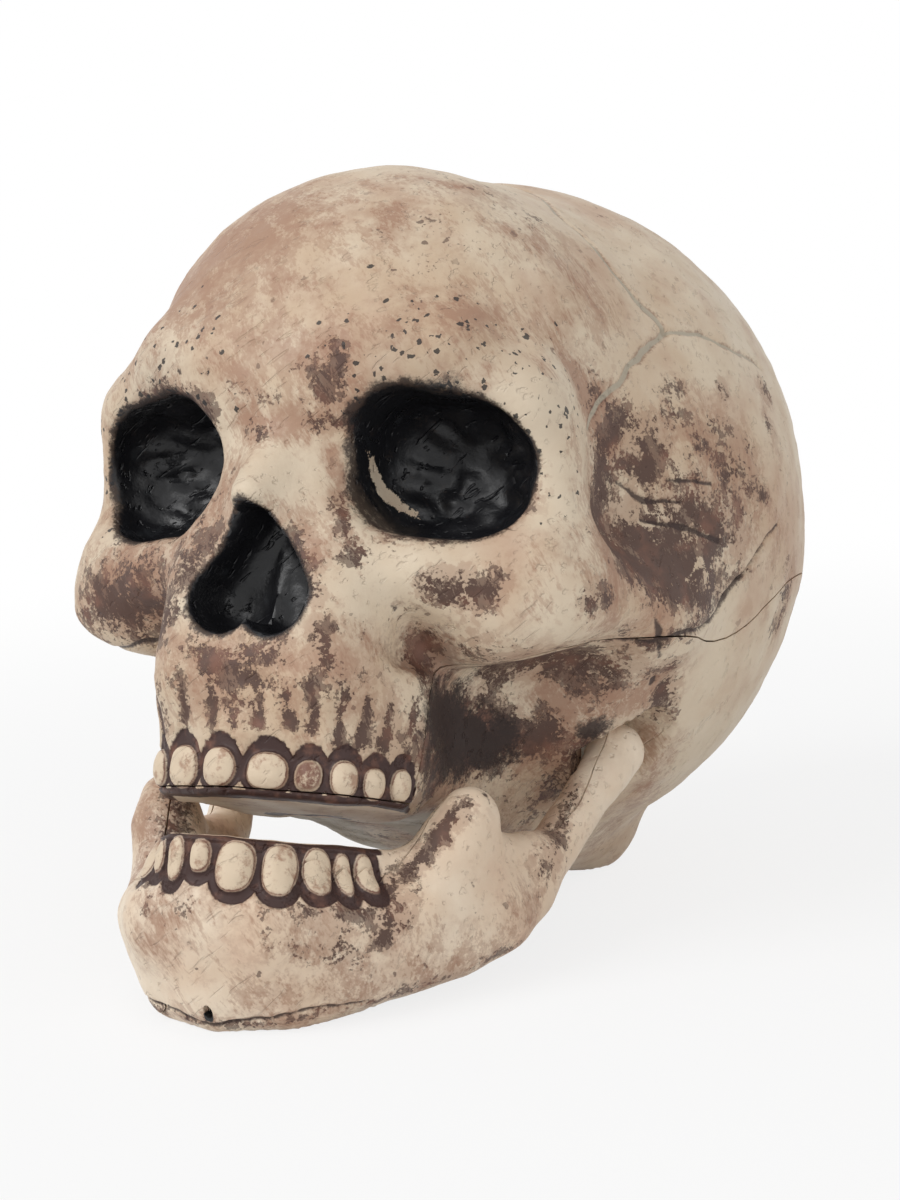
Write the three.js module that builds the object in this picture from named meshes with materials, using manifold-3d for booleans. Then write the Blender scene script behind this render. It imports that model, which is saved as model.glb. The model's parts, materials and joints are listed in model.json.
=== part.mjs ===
// A life-size decoration skull with a hinged lower jaw.
// Millimetres, +Z up, the face looks along -Y, +X is the skull's left.
// The skull is sculpted as blended round forms, meshed, hollowed and parted into moulded shells.
import * as THREE from "three";
import { mergeVertices } from "three/addons/utils/BufferGeometryUtils.js";
import Module from "manifold-3d";

const wasm = await Module();
wasm.setup();
const { Manifold, Mesh: SolidMesh } = wasm;

// Driving dimensions
const CRANIUM_LENGTH = 180; // from the root of the nose to the back of the head
const HALF = CRANIUM_LENGTH / 2; // every share below is a share of it
const WALL = 2.4; // moulded wall
const GAP = 0.3; // running and seam clearance
const OVERRUN = 400; // how far a cutting solid runs past what it cuts
const BACK_PITCH_DEG = 18; // how far the skull leans back when it rests on chin and base
const REST_SHARE = -0.816; // height of the resting plane from the ear axis, as the skull leans
const JAW_RANGE_DEG = { closed: -4, open: 14 }; // turns from the photographed opening
const JAW_CLEARANCE = 2; // room around the rami over the whole range
const SNAP = 0.004; // lattice that the finished vertices sit on
const SEGMENTS = 18;

// The jaw's pivots, from the jaw inwards along X
const PIVOT = {
  heightShare: -0.4,
  seatDepth: 6.7, // from the jaw's parting plane in to the outer face of the base shell's pad
  padThickness: 3,
  padRadius: 12,
  bossRadius: 6.4,
  pocketRadius: 9.5,
  pinRadius: 1.75,
  headRadius: 3.2,
  headThickness: 1.4,
  washerRadius: 5.5,
  washerThickness: 1.2,
  springRadius: 5,
  springThickness: 0.4,
  springWave: 0.3,
  nutRadius: 4.4,
  nutThickness: 0.8,
  nutDish: 0.5,
  tail: 1.5,
};

// The hole that the mould's blowing needle left in the seam below the chin
const CHIN_HOLE = {
  width: 1.8,
  height: 2.8,
  depth: 9,
  placeShare: [0, -0.935, -1.125],
  leanDeg: 35,
  sides: 12,
};

// Round forms of the cranium's left half, mirrored by the sculptor, joined or cut in this order
const CRANIUM_SHARES = [
  { form: "ellipsoid", at: [0, 0.2, 0.23], radii: [0.845, 0.88, 0.89] }, // braincase
  { form: "ellipsoid", at: [0, -0.35, 0.45], radii: [0.62, 0.55, 0.56], blend: 0.12 }, // forehead
  { form: "ellipsoid", at: [0.38, -0.47, 0.16], radii: [0.2, 0.24, 0.3], blend: 0.16 }, // temple
  { form: "plane", normal: [0, 0.05, 1], offset: -0.67, cut: true, blend: 0.08 }, // flat underside
  { form: "box", at: [0, 0.04, -0.436], half: [0.31, 0.72, 0.21], round: 0.15, turnDeg: [-3, 0, 0],
    blend: 0.12 }, // underside
  { form: "box", at: [0, -0.66, -0.3], half: [0.28, 0.27, 0.31], round: 0.2, turnDeg: [8, 0, 0],
    blend: 0.1 }, // upper jaw
  { form: "tube", path: [[0, -0.76, -0.44, 0.19], [0.14, -0.74, -0.46, 0.15], [0.19, -0.66, -0.46, 0.14]],
    blend: 0.06 }, // gum
  { form: "tube", path: [[0.03, -0.78, 0.36, 0.09], [0.2, -0.8, 0.4, 0.09], [0.38, -0.76, 0.43, 0.08],
    [0.52, -0.67, 0.34, 0.07]], blend: 0.14 }, // brow
  { form: "tube", path: [[0.53, -0.65, 0.33, 0.06], [0.58, -0.6, 0.18, 0.06], [0.6, -0.57, 0.02, 0.085]],
    blend: 0.14 }, // outer rim of the eye socket
  { form: "ellipsoid", at: [0.49, -0.55, -0.11], radii: [0.22, 0.18, 0.17], blend: 0.1 }, // cheek
  { form: "tube", path: [[0.22, -0.77, -0.06, 0.08], [0.38, -0.73, -0.07, 0.08], [0.54, -0.62, -0.04, 0.09]],
    blend: 0.1 }, // lower rim
  { form: "tube", path: [[0.58, -0.5, -0.11, 0.11], [0.64, -0.34, -0.09, 0.11], [0.68, -0.16, -0.06, 0.11]],
    blend: 0.14 }, // cheek arch
  { form: "ellipsoid", at: [0, -0.8, 0.1], radii: [0.13, 0.12, 0.24], turnDeg: [-24, 0, 0],
    blend: 0.08 }, // nasal bones
  { form: "tube", path: [[0, -0.76, 0.28, 0.06], [0, -0.86, 0.14, 0.055], [0, -0.92, 0.07, 0.05]],
    blend: 0.07 }, // bridge of the nose
  { form: "tube", path: [[0.09, -0.77, 0.18, 0.05], [0.15, -0.8, 0, 0.07], [0.18, -0.83, -0.2, 0.08],
    [0.17, -0.85, -0.34, 0.08]], blend: 0.08 }, // sides of the nose
  { form: "ellipsoid", at: [0.62, -0.44, -0.48], radii: [0.29, 0.23, 0.46], cut: true, blend: 0.07,
    limit: { normal: [-0.3, -0.174, 1], offset: -0.306, blend: 0.08 } }, // hollow below the cheek arch
  { form: "box", at: [0.38, -0.8, 0.17], half: [0.2, 0.24, 0.162], round: 0.14, turnDeg: [0, 6, 0],
    cut: true, blend: 0.03 }, // eye socket
];

// The nose opening's left half: two circles as X, Z and radius, that a slot joins, and the slot's floor
const NOSE_SHARES = { top: [0, 0, 0.05], bottom: [0.07, -0.16, 0.085], floor: -0.78, cornerBlend: 0.08 };
const NOSE_ARC_SEGMENTS = 10;

// Round forms of the lower jaw's left half, at the photographed opening
const JAW_BODY_SHARES = [
  { form: "tube", path: [[0, -0.92, -0.9, 0.13], [0.12, -0.9, -0.9, 0.13], [0.24, -0.8, -0.87, 0.11],
    [0.34, -0.64, -0.83, 0.1], [0.42, -0.46, -0.8, 0.08]] }, // body
  { form: "tube", path: [[0, -0.86, -1.05, 0.105], [0.14, -0.82, -1.04, 0.095], [0.27, -0.7, -0.99, 0.08],
    [0.38, -0.52, -0.92, 0.07], [0.43, -0.4, -0.85, 0.06]], blend: 0.1 }, // lower edge
  { form: "tube", path: [[0, -0.98, -0.78, 0.07], [0.1, -0.96, -0.78, 0.07], [0.19, -0.88, -0.77, 0.07],
    [0.24, -0.76, -0.77, 0.06], [0.28, -0.66, -0.77, 0.06]], blend: 0.06 }, // gum
];
const JAW_RAMUS_SHARES = [
  { form: "tube", path: [[0.43, -0.38, -0.82, 0.07], [0.47, -0.2, -0.66, 0.06],
    [0.52, -0.06, -0.46, 0.055]] }, // rear edge
  { form: "tube", path: [[0.34, -0.62, -0.82, 0.08], [0.4, -0.58, -0.68, 0.075], [0.42, -0.55, -0.61, 0.065]],
    blend: 0.06 }, // front edge with its tip
  { form: "box", at: [0.42, -0.43, -0.74], half: [0.055, 0.16, 0.1], round: 0.05, turnDeg: [0, 0, -12],
    blend: 0.1 }, // plate below the notch
  { form: "tube", path: [[0.51, -0.06, -0.48, 0.055], [0.53, 0, -0.4, 0.065]], blend: 0.04 }, // condyle
];
const RAMUS_BLEND_SHARE = 0.06;
const JAW_HOLLOW_TOP_SHARE = -0.7; // the rami are solid above this

// Teeth of one side: x, y and half width
const UPPER_TEETH = {
  placesShares: [[0.045, -0.935, 0.044], [0.13, -0.91, 0.044], [0.205, -0.865, 0.04], [0.255, -0.81, 0.036],
    [0.29, -0.75, 0.036], [0.31, -0.69, 0.036]],
  middleShare: -0.54,
  halfHeightShare: 0.075,
};
const LOWER_TEETH = {
  placesShares: [[0.035, -1.02, 0.042], [0.11, -1.01, 0.046], [0.185, -0.965, 0.046], [0.24, -0.89, 0.046],
    [0.27, -0.805, 0.042], [0.285, -0.72, 0.04]],
  middleShare: -0.765,
  halfHeightShare: 0.085,
};

// A tooth's outline from its lower tip to its upper one, as radius and height
const TOOTH_PROFILE_SHARES = [[0, -1], [0.72, -0.9], [1, -0.45], [1, 0.35], [0.7, 0.85], [0, 1]];
const TOOTH_SIDES = 7;

// Where the cranium's shells part, front to back, as Y and Z
const CRANIUM_SEAM_SHARES = [[-0.66, -0.6], [-0.64, -0.33], [-0.55, -0.22], [-0.2, -0.13], [0.05, -0.12],
  [0.2, 0], [0.35, 0.1], [0.6, 0.16]];
// Where the jaw's shells part, seen from above, as X and Y, and how the parting leans back downwards
const JAW_SEAM_FRONT_SHARE = -0.99;
const JAW_SEAM_SHARES = [[0.12, -0.97], [0.22, -0.88], [0.29, -0.76], [0.36, -0.6], [0.43, -0.4],
  [0.49, -0.2], [0.53, -0.12], [0.53, 0.2]];
const JAW_SEAM_LEAN_SHARE = 0.2;
const JAW_SEAM_LEVEL_SHARE = -0.8;

// X of the jaw's parting plane at the pivots, and of the faces that stack up inwards from it
const CONDYLE_SEAM_X = JAW_SEAM_SHARES[JAW_SEAM_SHARES.length - 1][0] * HALF;
const HEAD_OUTER_X = CONDYLE_SEAM_X - GAP;
const SEAT_X = CONDYLE_SEAM_X - PIVOT.seatDepth;
const BOSS_FACE_X = SEAT_X + PIVOT.washerThickness + 2 * GAP;
const SPRING_X = SEAT_X - PIVOT.padThickness - GAP - PIVOT.springWave - PIVOT.springThickness / 2;
const NUT_X = SPRING_X - PIVOT.springThickness / 2 - PIVOT.springWave - GAP - PIVOT.nutThickness;
const PIN_END_X = NUT_X - PIVOT.tail;

// Grid lines of the meshes: a start, then a step and a stop for each zone
const CRANIUM_GRID_SHARES = {
  x: [-0.93, 0.078, 0.93],
  y: [-1.13, 0.062, -0.48, 0.1, 0.15, 0.16, 1.2],
  z: [-0.8, 0.067, 0.4, 0.14, 1.22],
};
const CAVITY_GRID_SHARES = {
  x: [-0.93, 0.1, 0.93],
  y: [-1.13, 0.08, -0.42, 0.17, 1.26],
  z: [-0.8, 0.09, 0.4, 0.16, 1.2],
};
const JAW_GRID_SHARES = {
  x: [-0.7, 0.06, 0.7],
  y: [-1.2, 0.062, 0.16],
  z: [-1.28, 0.058, -0.24],
};
const JAW_CAVITY_GRID_SHARES = {
  x: [-0.7, 0.085, 0.7],
  y: [-1.2, 0.085, 0.16],
  z: [-1.28, 0.08, -0.24],
};

const BONE = { color: 0xcdb796, roughness: 0.62, metalness: 0 };
const BONE_JAW = { color: 0xd3bd9c, roughness: 0.62, metalness: 0 };
const STEEL = { color: 0x9a9c9f, roughness: 0.35, metalness: 1 };
const NYLON = { color: 0xe4e1d6, roughness: 0.5, metalness: 0 };

const rad = THREE.MathUtils.degToRad;

// Sculpting: distances are in shares of HALF, negative inside

function smoothMin(a, b, blend) {
  if (!blend) return Math.min(a, b);
  const t = THREE.MathUtils.clamp(0.5 + (0.5 * (b - a)) / blend, 0, 1);
  return b * (1 - t) + a * t - blend * t * (1 - t);
}

function smoothMax(a, b, blend) {
  return -smoothMin(-a, -b, blend);
}

function localPoint(point, feature) {
  const local = point.clone().sub(new THREE.Vector3(...feature.at));
  if (!feature.turnDeg) return local;
  const turn = new THREE.Euler(...feature.turnDeg.map(rad));
  return local.applyQuaternion(new THREE.Quaternion().setFromEuler(turn).invert());
}

function ellipsoidDistance(point, feature) {
  const radii = new THREE.Vector3(...feature.radii);
  const scaled = localPoint(point, feature).divide(radii);
  const reach = scaled.length();
  const slope = scaled.clone().divide(radii).length();
  if (slope === 0) return -Math.min(...feature.radii);
  return (reach * (reach - 1)) / slope;
}

function boxDistance(point, feature) {
  const local = localPoint(point, feature);
  const outside = new THREE.Vector3(...feature.half).subScalar(feature.round);
  outside.set(Math.abs(local.x) - outside.x, Math.abs(local.y) - outside.y, Math.abs(local.z) - outside.z);
  const inside = Math.min(Math.max(outside.x, outside.y, outside.z), 0);
  return outside.max(new THREE.Vector3()).length() + inside - feature.round;
}

function tubeDistance(point, feature) {
  let nearest = Infinity;
  for (let i = 1; i < feature.path.length; i += 1) {
    const [start, end] = [feature.path[i - 1], feature.path[i]];
    const from = new THREE.Vector3(...start);
    const along = new THREE.Vector3(...end).sub(from);
    const offset = point.clone().sub(from);
    const t = THREE.MathUtils.clamp(offset.dot(along) / along.lengthSq(), 0, 1);
    const radius = THREE.MathUtils.lerp(start[3], end[3], t);
    nearest = Math.min(nearest, offset.addScaledVector(along, -t).length() - radius);
  }
  return nearest;
}

function planeDistance(point, feature) {
  return point.dot(new THREE.Vector3(...feature.normal)) - feature.offset;
}

const DISTANCES = {
  ellipsoid: ellipsoidDistance,
  box: boxDistance,
  tube: tubeDistance,
  plane: planeDistance,
};

function featureDistance(point, feature) {
  const distance = DISTANCES[feature.form](point, feature);
  if (!feature.limit) return distance;
  return smoothMax(distance, planeDistance(point, feature.limit), feature.limit.blend);
}

// The blended distance to a list of features, mirrored across X = 0
function sculpt(features, point) {
  const folded = new THREE.Vector3(Math.abs(point.x), point.y, point.z);
  let distance = Infinity;
  for (const feature of features) {
    const next = featureDistance(folded, feature);
    if (feature.cut) distance = smoothMax(distance, -next, feature.blend);
    else distance = distance === Infinity ? next : smoothMin(distance, next, feature.blend);
  }
  return distance;
}

// The distance to the space that the rami sweep between closed and open
function ramusSweep(point) {
  const { closed, open } = JAW_RANGE_DEG;
  const turns = [closed, 0, (closed + open) / 2, open];
  const distances = turns.map((turnDeg) => {
    const turned = point.clone();
    turned.z -= PIVOT.heightShare;
    turned.applyAxisAngle(new THREE.Vector3(1, 0, 0), -rad(turnDeg));
    turned.z += PIVOT.heightShare;
    return sculpt(JAW_RAMUS_SHARES, turned);
  });
  return Math.min(...distances);
}

// The distance to the nose opening
function noseDistance(point) {
  const { top, bottom, floor, cornerBlend } = NOSE_SHARES;
  const path = [top, bottom].map(([x, z, radius]) => [x, 0, z, radius]);
  const flat = new THREE.Vector3(Math.abs(point.x), 0, point.z);
  return smoothMax(tubeDistance(flat, { path }), point.y - floor, cornerBlend);
}

// The cranium drawn in by a wall, with room for the rami
function craniumDistance(point, wall = 0) {
  const room = ramusSweep(point) - (JAW_CLEARANCE + 2 * wall) / HALF;
  return smoothMax(sculpt(CRANIUM_SHARES, point) + wall / HALF, -room, GAP / HALF);
}

function jawDistance(point) {
  const body = sculpt(JAW_BODY_SHARES, point);
  return smoothMin(body, sculpt(JAW_RAMUS_SHARES, point), RAMUS_BLEND_SHARE);
}

// The distance to the cylinder along the pivot axis that stays solid
function pivotCore(point, radius) {
  return Math.hypot(point.y, point.z - PIVOT.heightShare) - radius / HALF;
}

// The distance to the space a wall above the plane that the leaning skull rests on
function aboveRest(point) {
  const lean = rad(BACK_PITCH_DEG);
  const height = Math.cos(lean) * point.z - Math.sin(lean) * point.y - REST_SHARE;
  return WALL / HALF - height;
}

function craniumCavityDistance(point) {
  const padInnerShare = (SEAT_X - PIVOT.padThickness) / HALF;
  const pad = Math.max(pivotCore(point, PIVOT.padRadius), padInnerShare - Math.abs(point.x));
  const nose = noseDistance(point) - WALL / HALF;
  return Math.max(craniumDistance(point, WALL), -pad, -nose, aboveRest(point));
}

function jawCavityDistance(point) {
  const hollow = jawDistance(point) + WALL / HALF;
  return Math.max(hollow, point.z - JAW_HOLLOW_TOP_SHARE, aboveRest(point));
}

// Meshing

function gridLines(zones) {
  const lines = [zones[0]];
  for (let i = 1; i < zones.length; i += 2) {
    const start = lines[lines.length - 1];
    const count = Math.ceil((zones[i + 1] - start) / zones[i]);
    for (let k = 1; k <= count; k += 1) lines.push(start + ((zones[i + 1] - start) * k) / count);
  }
  return lines;
}

class Lattice {
  constructor(gridShares, distance) {
    this.axes = [gridLines(gridShares.x), gridLines(gridShares.y), gridLines(gridShares.z)];
    this.counts = this.axes.map((lines) => lines.length);
    this.values = new Float64Array(this.counts[0] * this.counts[1] * this.counts[2]);
    this.forEachNode(this.counts, (node) => {
      this.values[this.key(node)] = distance(this.place(node));
    });
    this.settle();
  }

  // Where a lattice square's corners alternate, takes the weaker outer corner into the solid,
  // so that no two sheets of the surface share an edge
  settle() {
    let filled = 0;
    for (let axis = 0; axis < 3; axis += 1) {
      const counts = this.counts.map((count, i) => (i === axis ? count : count - 1));
      this.forEachNode(counts, (node) => {
        const ring = this.cellsAround(node, axis, 1);
        const inside = ring.map((key) => this.values[key] < 0);
        if (inside[0] !== inside[2] || inside[1] !== inside[3] || inside[0] === inside[1]) return;
        const outer = ring.filter((key, i) => !inside[i]);
        outer.sort((first, second) => this.values[first] - this.values[second]);
        this.values[outer[0]] = -GAP / HALF;
        filled += 1;
      });
    }
    if (filled) this.settle();
  }

  key([i, j, k]) {
    return (i * this.counts[1] + j) * this.counts[2] + k;
  }

  place([i, j, k]) {
    return new THREE.Vector3(this.axes[0][i], this.axes[1][j], this.axes[2][k]);
  }

  forEachNode([ni, nj, nk], visit) {
    for (let i = 0; i < ni; i += 1) {
      for (let j = 0; j < nj; j += 1) {
        for (let k = 0; k < nk; k += 1) visit([i, j, k]);
      }
    }
  }

  // Calls visit with each lattice edge that the surface crosses
  forEachCrossing(visit) {
    for (let axis = 0; axis < 3; axis += 1) {
      const counts = this.counts.map((count, i) => (i === axis ? count - 1 : count));
      this.forEachNode(counts, (node) => {
        const next = node.map((value, i) => (i === axis ? value + 1 : value));
        const [a, b] = [this.values[this.key(node)], this.values[this.key(next)]];
        if (a < 0 !== b < 0) visit(node, axis, this.place(node).lerp(this.place(next), a / (a - b)), a < 0);
      });
    }
  }

  // The four cells around an edge, or with side 1 the four corners of a square, in turning order
  cellsAround(node, axis, side = -1) {
    const [u, v] = [(axis + 1) % 3, (axis + 2) % 3];
    return [[1, 1], [0, 1], [0, 0], [1, 0]].map(([du, dv]) => {
      const cell = [...node];
      cell[u] += side * du;
      cell[v] += side * dv;
      return this.key(cell);
    });
  }
}

// A closed surface at distance 0, with one vertex in each cell that the surface crosses
function surfaceNet(gridShares, distance) {
  const lattice = new Lattice(gridShares, distance);
  const sums = new Map();
  lattice.forEachCrossing((node, axis, crossing) => {
    for (const cell of lattice.cellsAround(node, axis)) {
      if (!sums.has(cell)) sums.set(cell, { total: new THREE.Vector3(), count: 0, index: sums.size });
      const sum = sums.get(cell);
      sum.total.add(crossing);
      sum.count += 1;
    }
  });
  const points = [...sums.values()].map((sum) => sum.total.multiplyScalar(HALF / sum.count));
  const index = [];
  lattice.forEachCrossing((node, axis, crossing, startsInside) => {
    const ring = lattice.cellsAround(node, axis).map((cell) => sums.get(cell).index);
    if (!startsInside) ring.reverse();
    const [a, b, c, d] = ring;
    const shortFirst = points[a].distanceTo(points[c]) < points[b].distanceTo(points[d]);
    index.push(...(shortFirst ? [a, b, c, a, c, d] : [a, b, d, b, c, d]));
  });
  const geometry = new THREE.BufferGeometry().setFromPoints(points);
  geometry.setIndex(index);
  return geometry;
}

// Solids

function solidFrom(geometry) {
  const bare = geometry.clone();
  bare.deleteAttribute("normal");
  bare.deleteAttribute("uv");
  const welded = mergeVertices(bare, GAP / 100);
  const solid = new SolidMesh({
    numProp: 3,
    vertProperties: new Float32Array(welded.attributes.position.array),
    triVerts: new Uint32Array(welded.index.array),
  });
  return new Manifold(solid);
}

// Snaps the vertices to a fine lattice, welds those that meet and drops the faces that collapse
function geometryFrom(solid) {
  const mesh = solid.getMesh();
  const snapped = Float32Array.from(mesh.vertProperties, (value) => Math.round(value / SNAP) * SNAP);
  const geometry = new THREE.BufferGeometry();
  geometry.setAttribute("position", new THREE.BufferAttribute(snapped, 3));
  geometry.setIndex(new THREE.BufferAttribute(new Uint32Array(mesh.triVerts), 1));
  const welded = mergeVertices(geometry, SNAP / 10);
  const corners = Array.from(welded.index.array);
  const kept = [];
  for (let i = 0; i < corners.length; i += 3) {
    const [a, b, c] = corners.slice(i, i + 3);
    if (a !== b && b !== c && c !== a) kept.push(a, b, c);
  }
  welded.setIndex(kept);
  welded.computeVertexNormals();
  return welded;
}

// A round bar along X between two X values, on the pivot axis
function axisBar(fromX, toX, radius) {
  const geometry = new THREE.CylinderGeometry(radius, radius, Math.abs(toX - fromX), SEGMENTS);
  geometry.rotateZ(Math.PI / 2);
  geometry.translate((fromX + toX) / 2, 0, PIVOT.heightShare * HALF);
  return solidFrom(geometry);
}

function teethSolids(teeth, growth = 0) {
  const solids = [];
  for (const side of [-1, 1]) {
    for (const [x, y, half] of teeth.placesShares) {
      const profile = TOOTH_PROFILE_SHARES.map(([radius, height]) => new THREE.Vector2(radius, height));
      const geometry = new THREE.LatheGeometry(profile, TOOTH_SIDES);
      geometry.rotateX(Math.PI / 2);
      const width = half * HALF + growth;
      geometry.scale(width, width, teeth.halfHeightShare * HALF + growth);
      geometry.translate(side * x * HALF, y * HALF, teeth.middleShare * HALF);
      solids.push(solidFrom(geometry));
    }
  }
  return solids;
}

function joined(solids) {
  return solids.reduce((total, solid) => total.add(solid));
}

// A prism over an outline in Y and Z, across the whole width
function sideProfile(points) {
  const shape = new THREE.Shape(points.map(([y, z]) => new THREE.Vector2(y, z)));
  const geometry = new THREE.ExtrudeGeometry(shape, { depth: 2 * OVERRUN, bevelEnabled: false });
  geometry.translate(0, 0, -OVERRUN);
  const axes = [new THREE.Vector3(0, 1, 0), new THREE.Vector3(0, 0, 1), new THREE.Vector3(1, 0, 0)];
  geometry.applyMatrix4(new THREE.Matrix4().makeBasis(...axes));
  return solidFrom(geometry);
}

// The space above the cranium's seam for side 1, and below it for side -1
function seamSide(side) {
  const shift = (side * GAP) / 2;
  const seam = CRANIUM_SEAM_SHARES.map(([y, z]) => [y * HALF - shift, z * HALF + shift]);
  const [front, back] = [seam[0][1], seam[seam.length - 1][1]];
  return sideProfile([[-OVERRUN, front], ...seam, [OVERRUN, back], [OVERRUN, side * OVERRUN],
    [-OVERRUN, side * OVERRUN]]);
}

// The space within the jaw's parting sheet, drawn in or out by an offset
function withinJawSeam(offset) {
  const half = JAW_SEAM_SHARES.map(([x, y]) => [x * HALF + offset, y * HALF - offset]);
  const front = [[0, JAW_SEAM_FRONT_SHARE * HALF - offset]];
  const mirrored = half.map(([x, y]) => [-x, y]).reverse();
  const outline = [...mirrored, ...front, ...half].map(([x, y]) => new THREE.Vector2(x, y));
  const shape = new THREE.Shape(outline);
  const geometry = new THREE.ExtrudeGeometry(shape, { depth: OVERRUN, bevelEnabled: false });
  geometry.translate(0, 0, -OVERRUN / 2);
  geometry.applyMatrix4(new THREE.Matrix4().makeShear(0, 0, 0, 0, 0, -JAW_SEAM_LEAN_SHARE));
  geometry.translate(0, 0, JAW_SEAM_LEVEL_SHARE * HALF);
  return solidFrom(geometry);
}

// Everything below the plane that the leaning skull rests on
function belowRest() {
  const geometry = new THREE.BoxGeometry(OVERRUN, OVERRUN, OVERRUN);
  geometry.translate(0, 0, REST_SHARE * HALF - OVERRUN / 2);
  geometry.rotateX(rad(BACK_PITCH_DEG));
  return solidFrom(geometry);
}

// Half of the nose opening: the outline around its two circles, extruded back to the floor
function noseSlot(side) {
  const { top, bottom, floor } = NOSE_SHARES;
  const span = Math.hypot(bottom[0] - top[0], bottom[1] - top[1]);
  const heading = Math.atan2(bottom[1] - top[1], bottom[0] - top[0]);
  const flare = Math.acos((top[2] - bottom[2]) / span);
  const arc = ([x, z, radius], from, turn) => {
    const steps = Array.from({ length: NOSE_ARC_SEGMENTS + 1 }, (_, i) => i / NOSE_ARC_SEGMENTS);
    const angles = steps.map((step) => from + turn * step);
    return angles.map((angle) => [x + radius * Math.cos(angle), z + radius * Math.sin(angle)]);
  };
  const below = arc(bottom, heading - flare, 2 * flare);
  const above = arc(top, heading + flare, 2 * Math.PI - 2 * flare);
  const outline = [...below, ...above].map(([x, z]) => new THREE.Vector2(side * x * HALF, z * HALF));
  const shape = new THREE.Shape(outline);
  const geometry = new THREE.ExtrudeGeometry(shape, { depth: OVERRUN, bevelEnabled: false });
  geometry.rotateX(Math.PI / 2);
  geometry.translate(0, floor * HALF, 0);
  return solidFrom(geometry);
}

// Pieces

function craniumShells() {
  const teeth = joined(teethSolids(UPPER_TEETH));
  const { padThickness, padRadius, pocketRadius, pinRadius } = PIVOT;
  let body = solidFrom(surfaceNet(CRANIUM_GRID_SHARES, (point) => craniumDistance(point)));
  const cavity = solidFrom(surfaceNet(CAVITY_GRID_SHARES, craniumCavityDistance));
  body = body.subtract(cavity).subtract(belowRest());
  for (const side of [-1, 1]) {
    body = body.subtract(noseSlot(side));
    body = body.add(axisBar(side * (SEAT_X - padThickness), side * SEAT_X, padRadius));
    body = body.subtract(axisBar(side * SEAT_X, side * OVERRUN, pocketRadius));
    body = body.subtract(axisBar(side * (SEAT_X - padThickness), 0, padRadius));
    body = body.subtract(axisBar(0, side * OVERRUN, pinRadius + GAP));
  }
  const face = body.intersect(seamSide(1)).add(teeth.subtract(cavity));
  const base = body.intersect(seamSide(-1)).subtract(joined(teethSolids(UPPER_TEETH, GAP)));
  return { face, base };
}

function chinHole() {
  const [x, y, z] = CHIN_HOLE.placeShare;
  const { width, height, depth, leanDeg, sides } = CHIN_HOLE;
  const geometry = new THREE.CylinderGeometry(width / 2, width / 2, 2 * depth, sides);
  geometry.scale(1, 1, height / width);
  geometry.rotateX(-rad(leanDeg));
  geometry.translate(x * HALF, y * HALF, z * HALF);
  return solidFrom(geometry);
}

function jawShells() {
  const { bossRadius, headRadius, headThickness, pinRadius, padRadius } = PIVOT;
  let body = solidFrom(surfaceNet(JAW_GRID_SHARES, jawDistance)).add(joined(teethSolids(LOWER_TEETH)));
  body = body.subtract(solidFrom(surfaceNet(JAW_CAVITY_GRID_SHARES, jawCavityDistance)));
  body = body.subtract(chinHole()).subtract(belowRest());
  let inner = body.intersect(withinJawSeam(-GAP / 2));
  const outer = body.subtract(withinJawSeam(GAP / 2));
  for (const side of [-1, 1]) {
    const headSeatX = side * (HEAD_OUTER_X - headThickness - GAP);
    inner = inner.add(axisBar(side * BOSS_FACE_X, side * (CONDYLE_SEAM_X - GAP / 2), bossRadius));
    inner = inner.subtract(axisBar(0, side * BOSS_FACE_X, padRadius + GAP));
    inner = inner.subtract(axisBar(0, side * OVERRUN, pinRadius + GAP));
    inner = inner.subtract(axisBar(headSeatX, side * OVERRUN, headRadius + GAP));
  }
  return { outer, inner };
}

function pivotPin(side) {
  const { pinRadius, headRadius, headThickness } = PIVOT;
  const shaft = axisBar(side * PIN_END_X, side * (HEAD_OUTER_X - headThickness / 2), pinRadius);
  return shaft.add(axisBar(side * (HEAD_OUTER_X - headThickness), side * HEAD_OUTER_X, headRadius));
}

function frictionWasher(side) {
  const { washerRadius, washerThickness, pinRadius } = PIVOT;
  const disc = axisBar(side * (SEAT_X + GAP), side * (SEAT_X + GAP + washerThickness), washerRadius);
  return disc.subtract(axisBar(0, side * OVERRUN, pinRadius + GAP));
}

// A ring bent to three waves, so that it pushes the pad and the nut apart
function waveWasher(side) {
  const { springRadius, springThickness, springWave, pinRadius } = PIVOT;
  const corners = [[pinRadius + GAP, -1], [springRadius, -1], [springRadius, 1], [pinRadius + GAP, 1]];
  const points = [];
  const index = [];
  for (let i = 0; i < SEGMENTS; i += 1) {
    const angle = (2 * Math.PI * i) / SEGMENTS;
    const wave = springWave * Math.sin(3 * angle);
    for (const [radius, face] of corners) {
      const x = side * SPRING_X + wave + (face * springThickness) / 2;
      const z = PIVOT.heightShare * HALF + radius * Math.sin(angle);
      points.push(new THREE.Vector3(x, radius * Math.cos(angle), z));
    }
    for (let k = 0; k < 4; k += 1) {
      const [a, b] = [4 * i + k, 4 * i + ((k + 1) % 4)];
      const [c, d] = [4 * ((i + 1) % SEGMENTS) + k, 4 * ((i + 1) % SEGMENTS) + ((k + 1) % 4)];
      index.push(a, c, b, b, c, d);
    }
  }
  const geometry = new THREE.BufferGeometry().setFromPoints(points);
  geometry.setIndex(index);
  return solidFrom(geometry);
}

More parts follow.
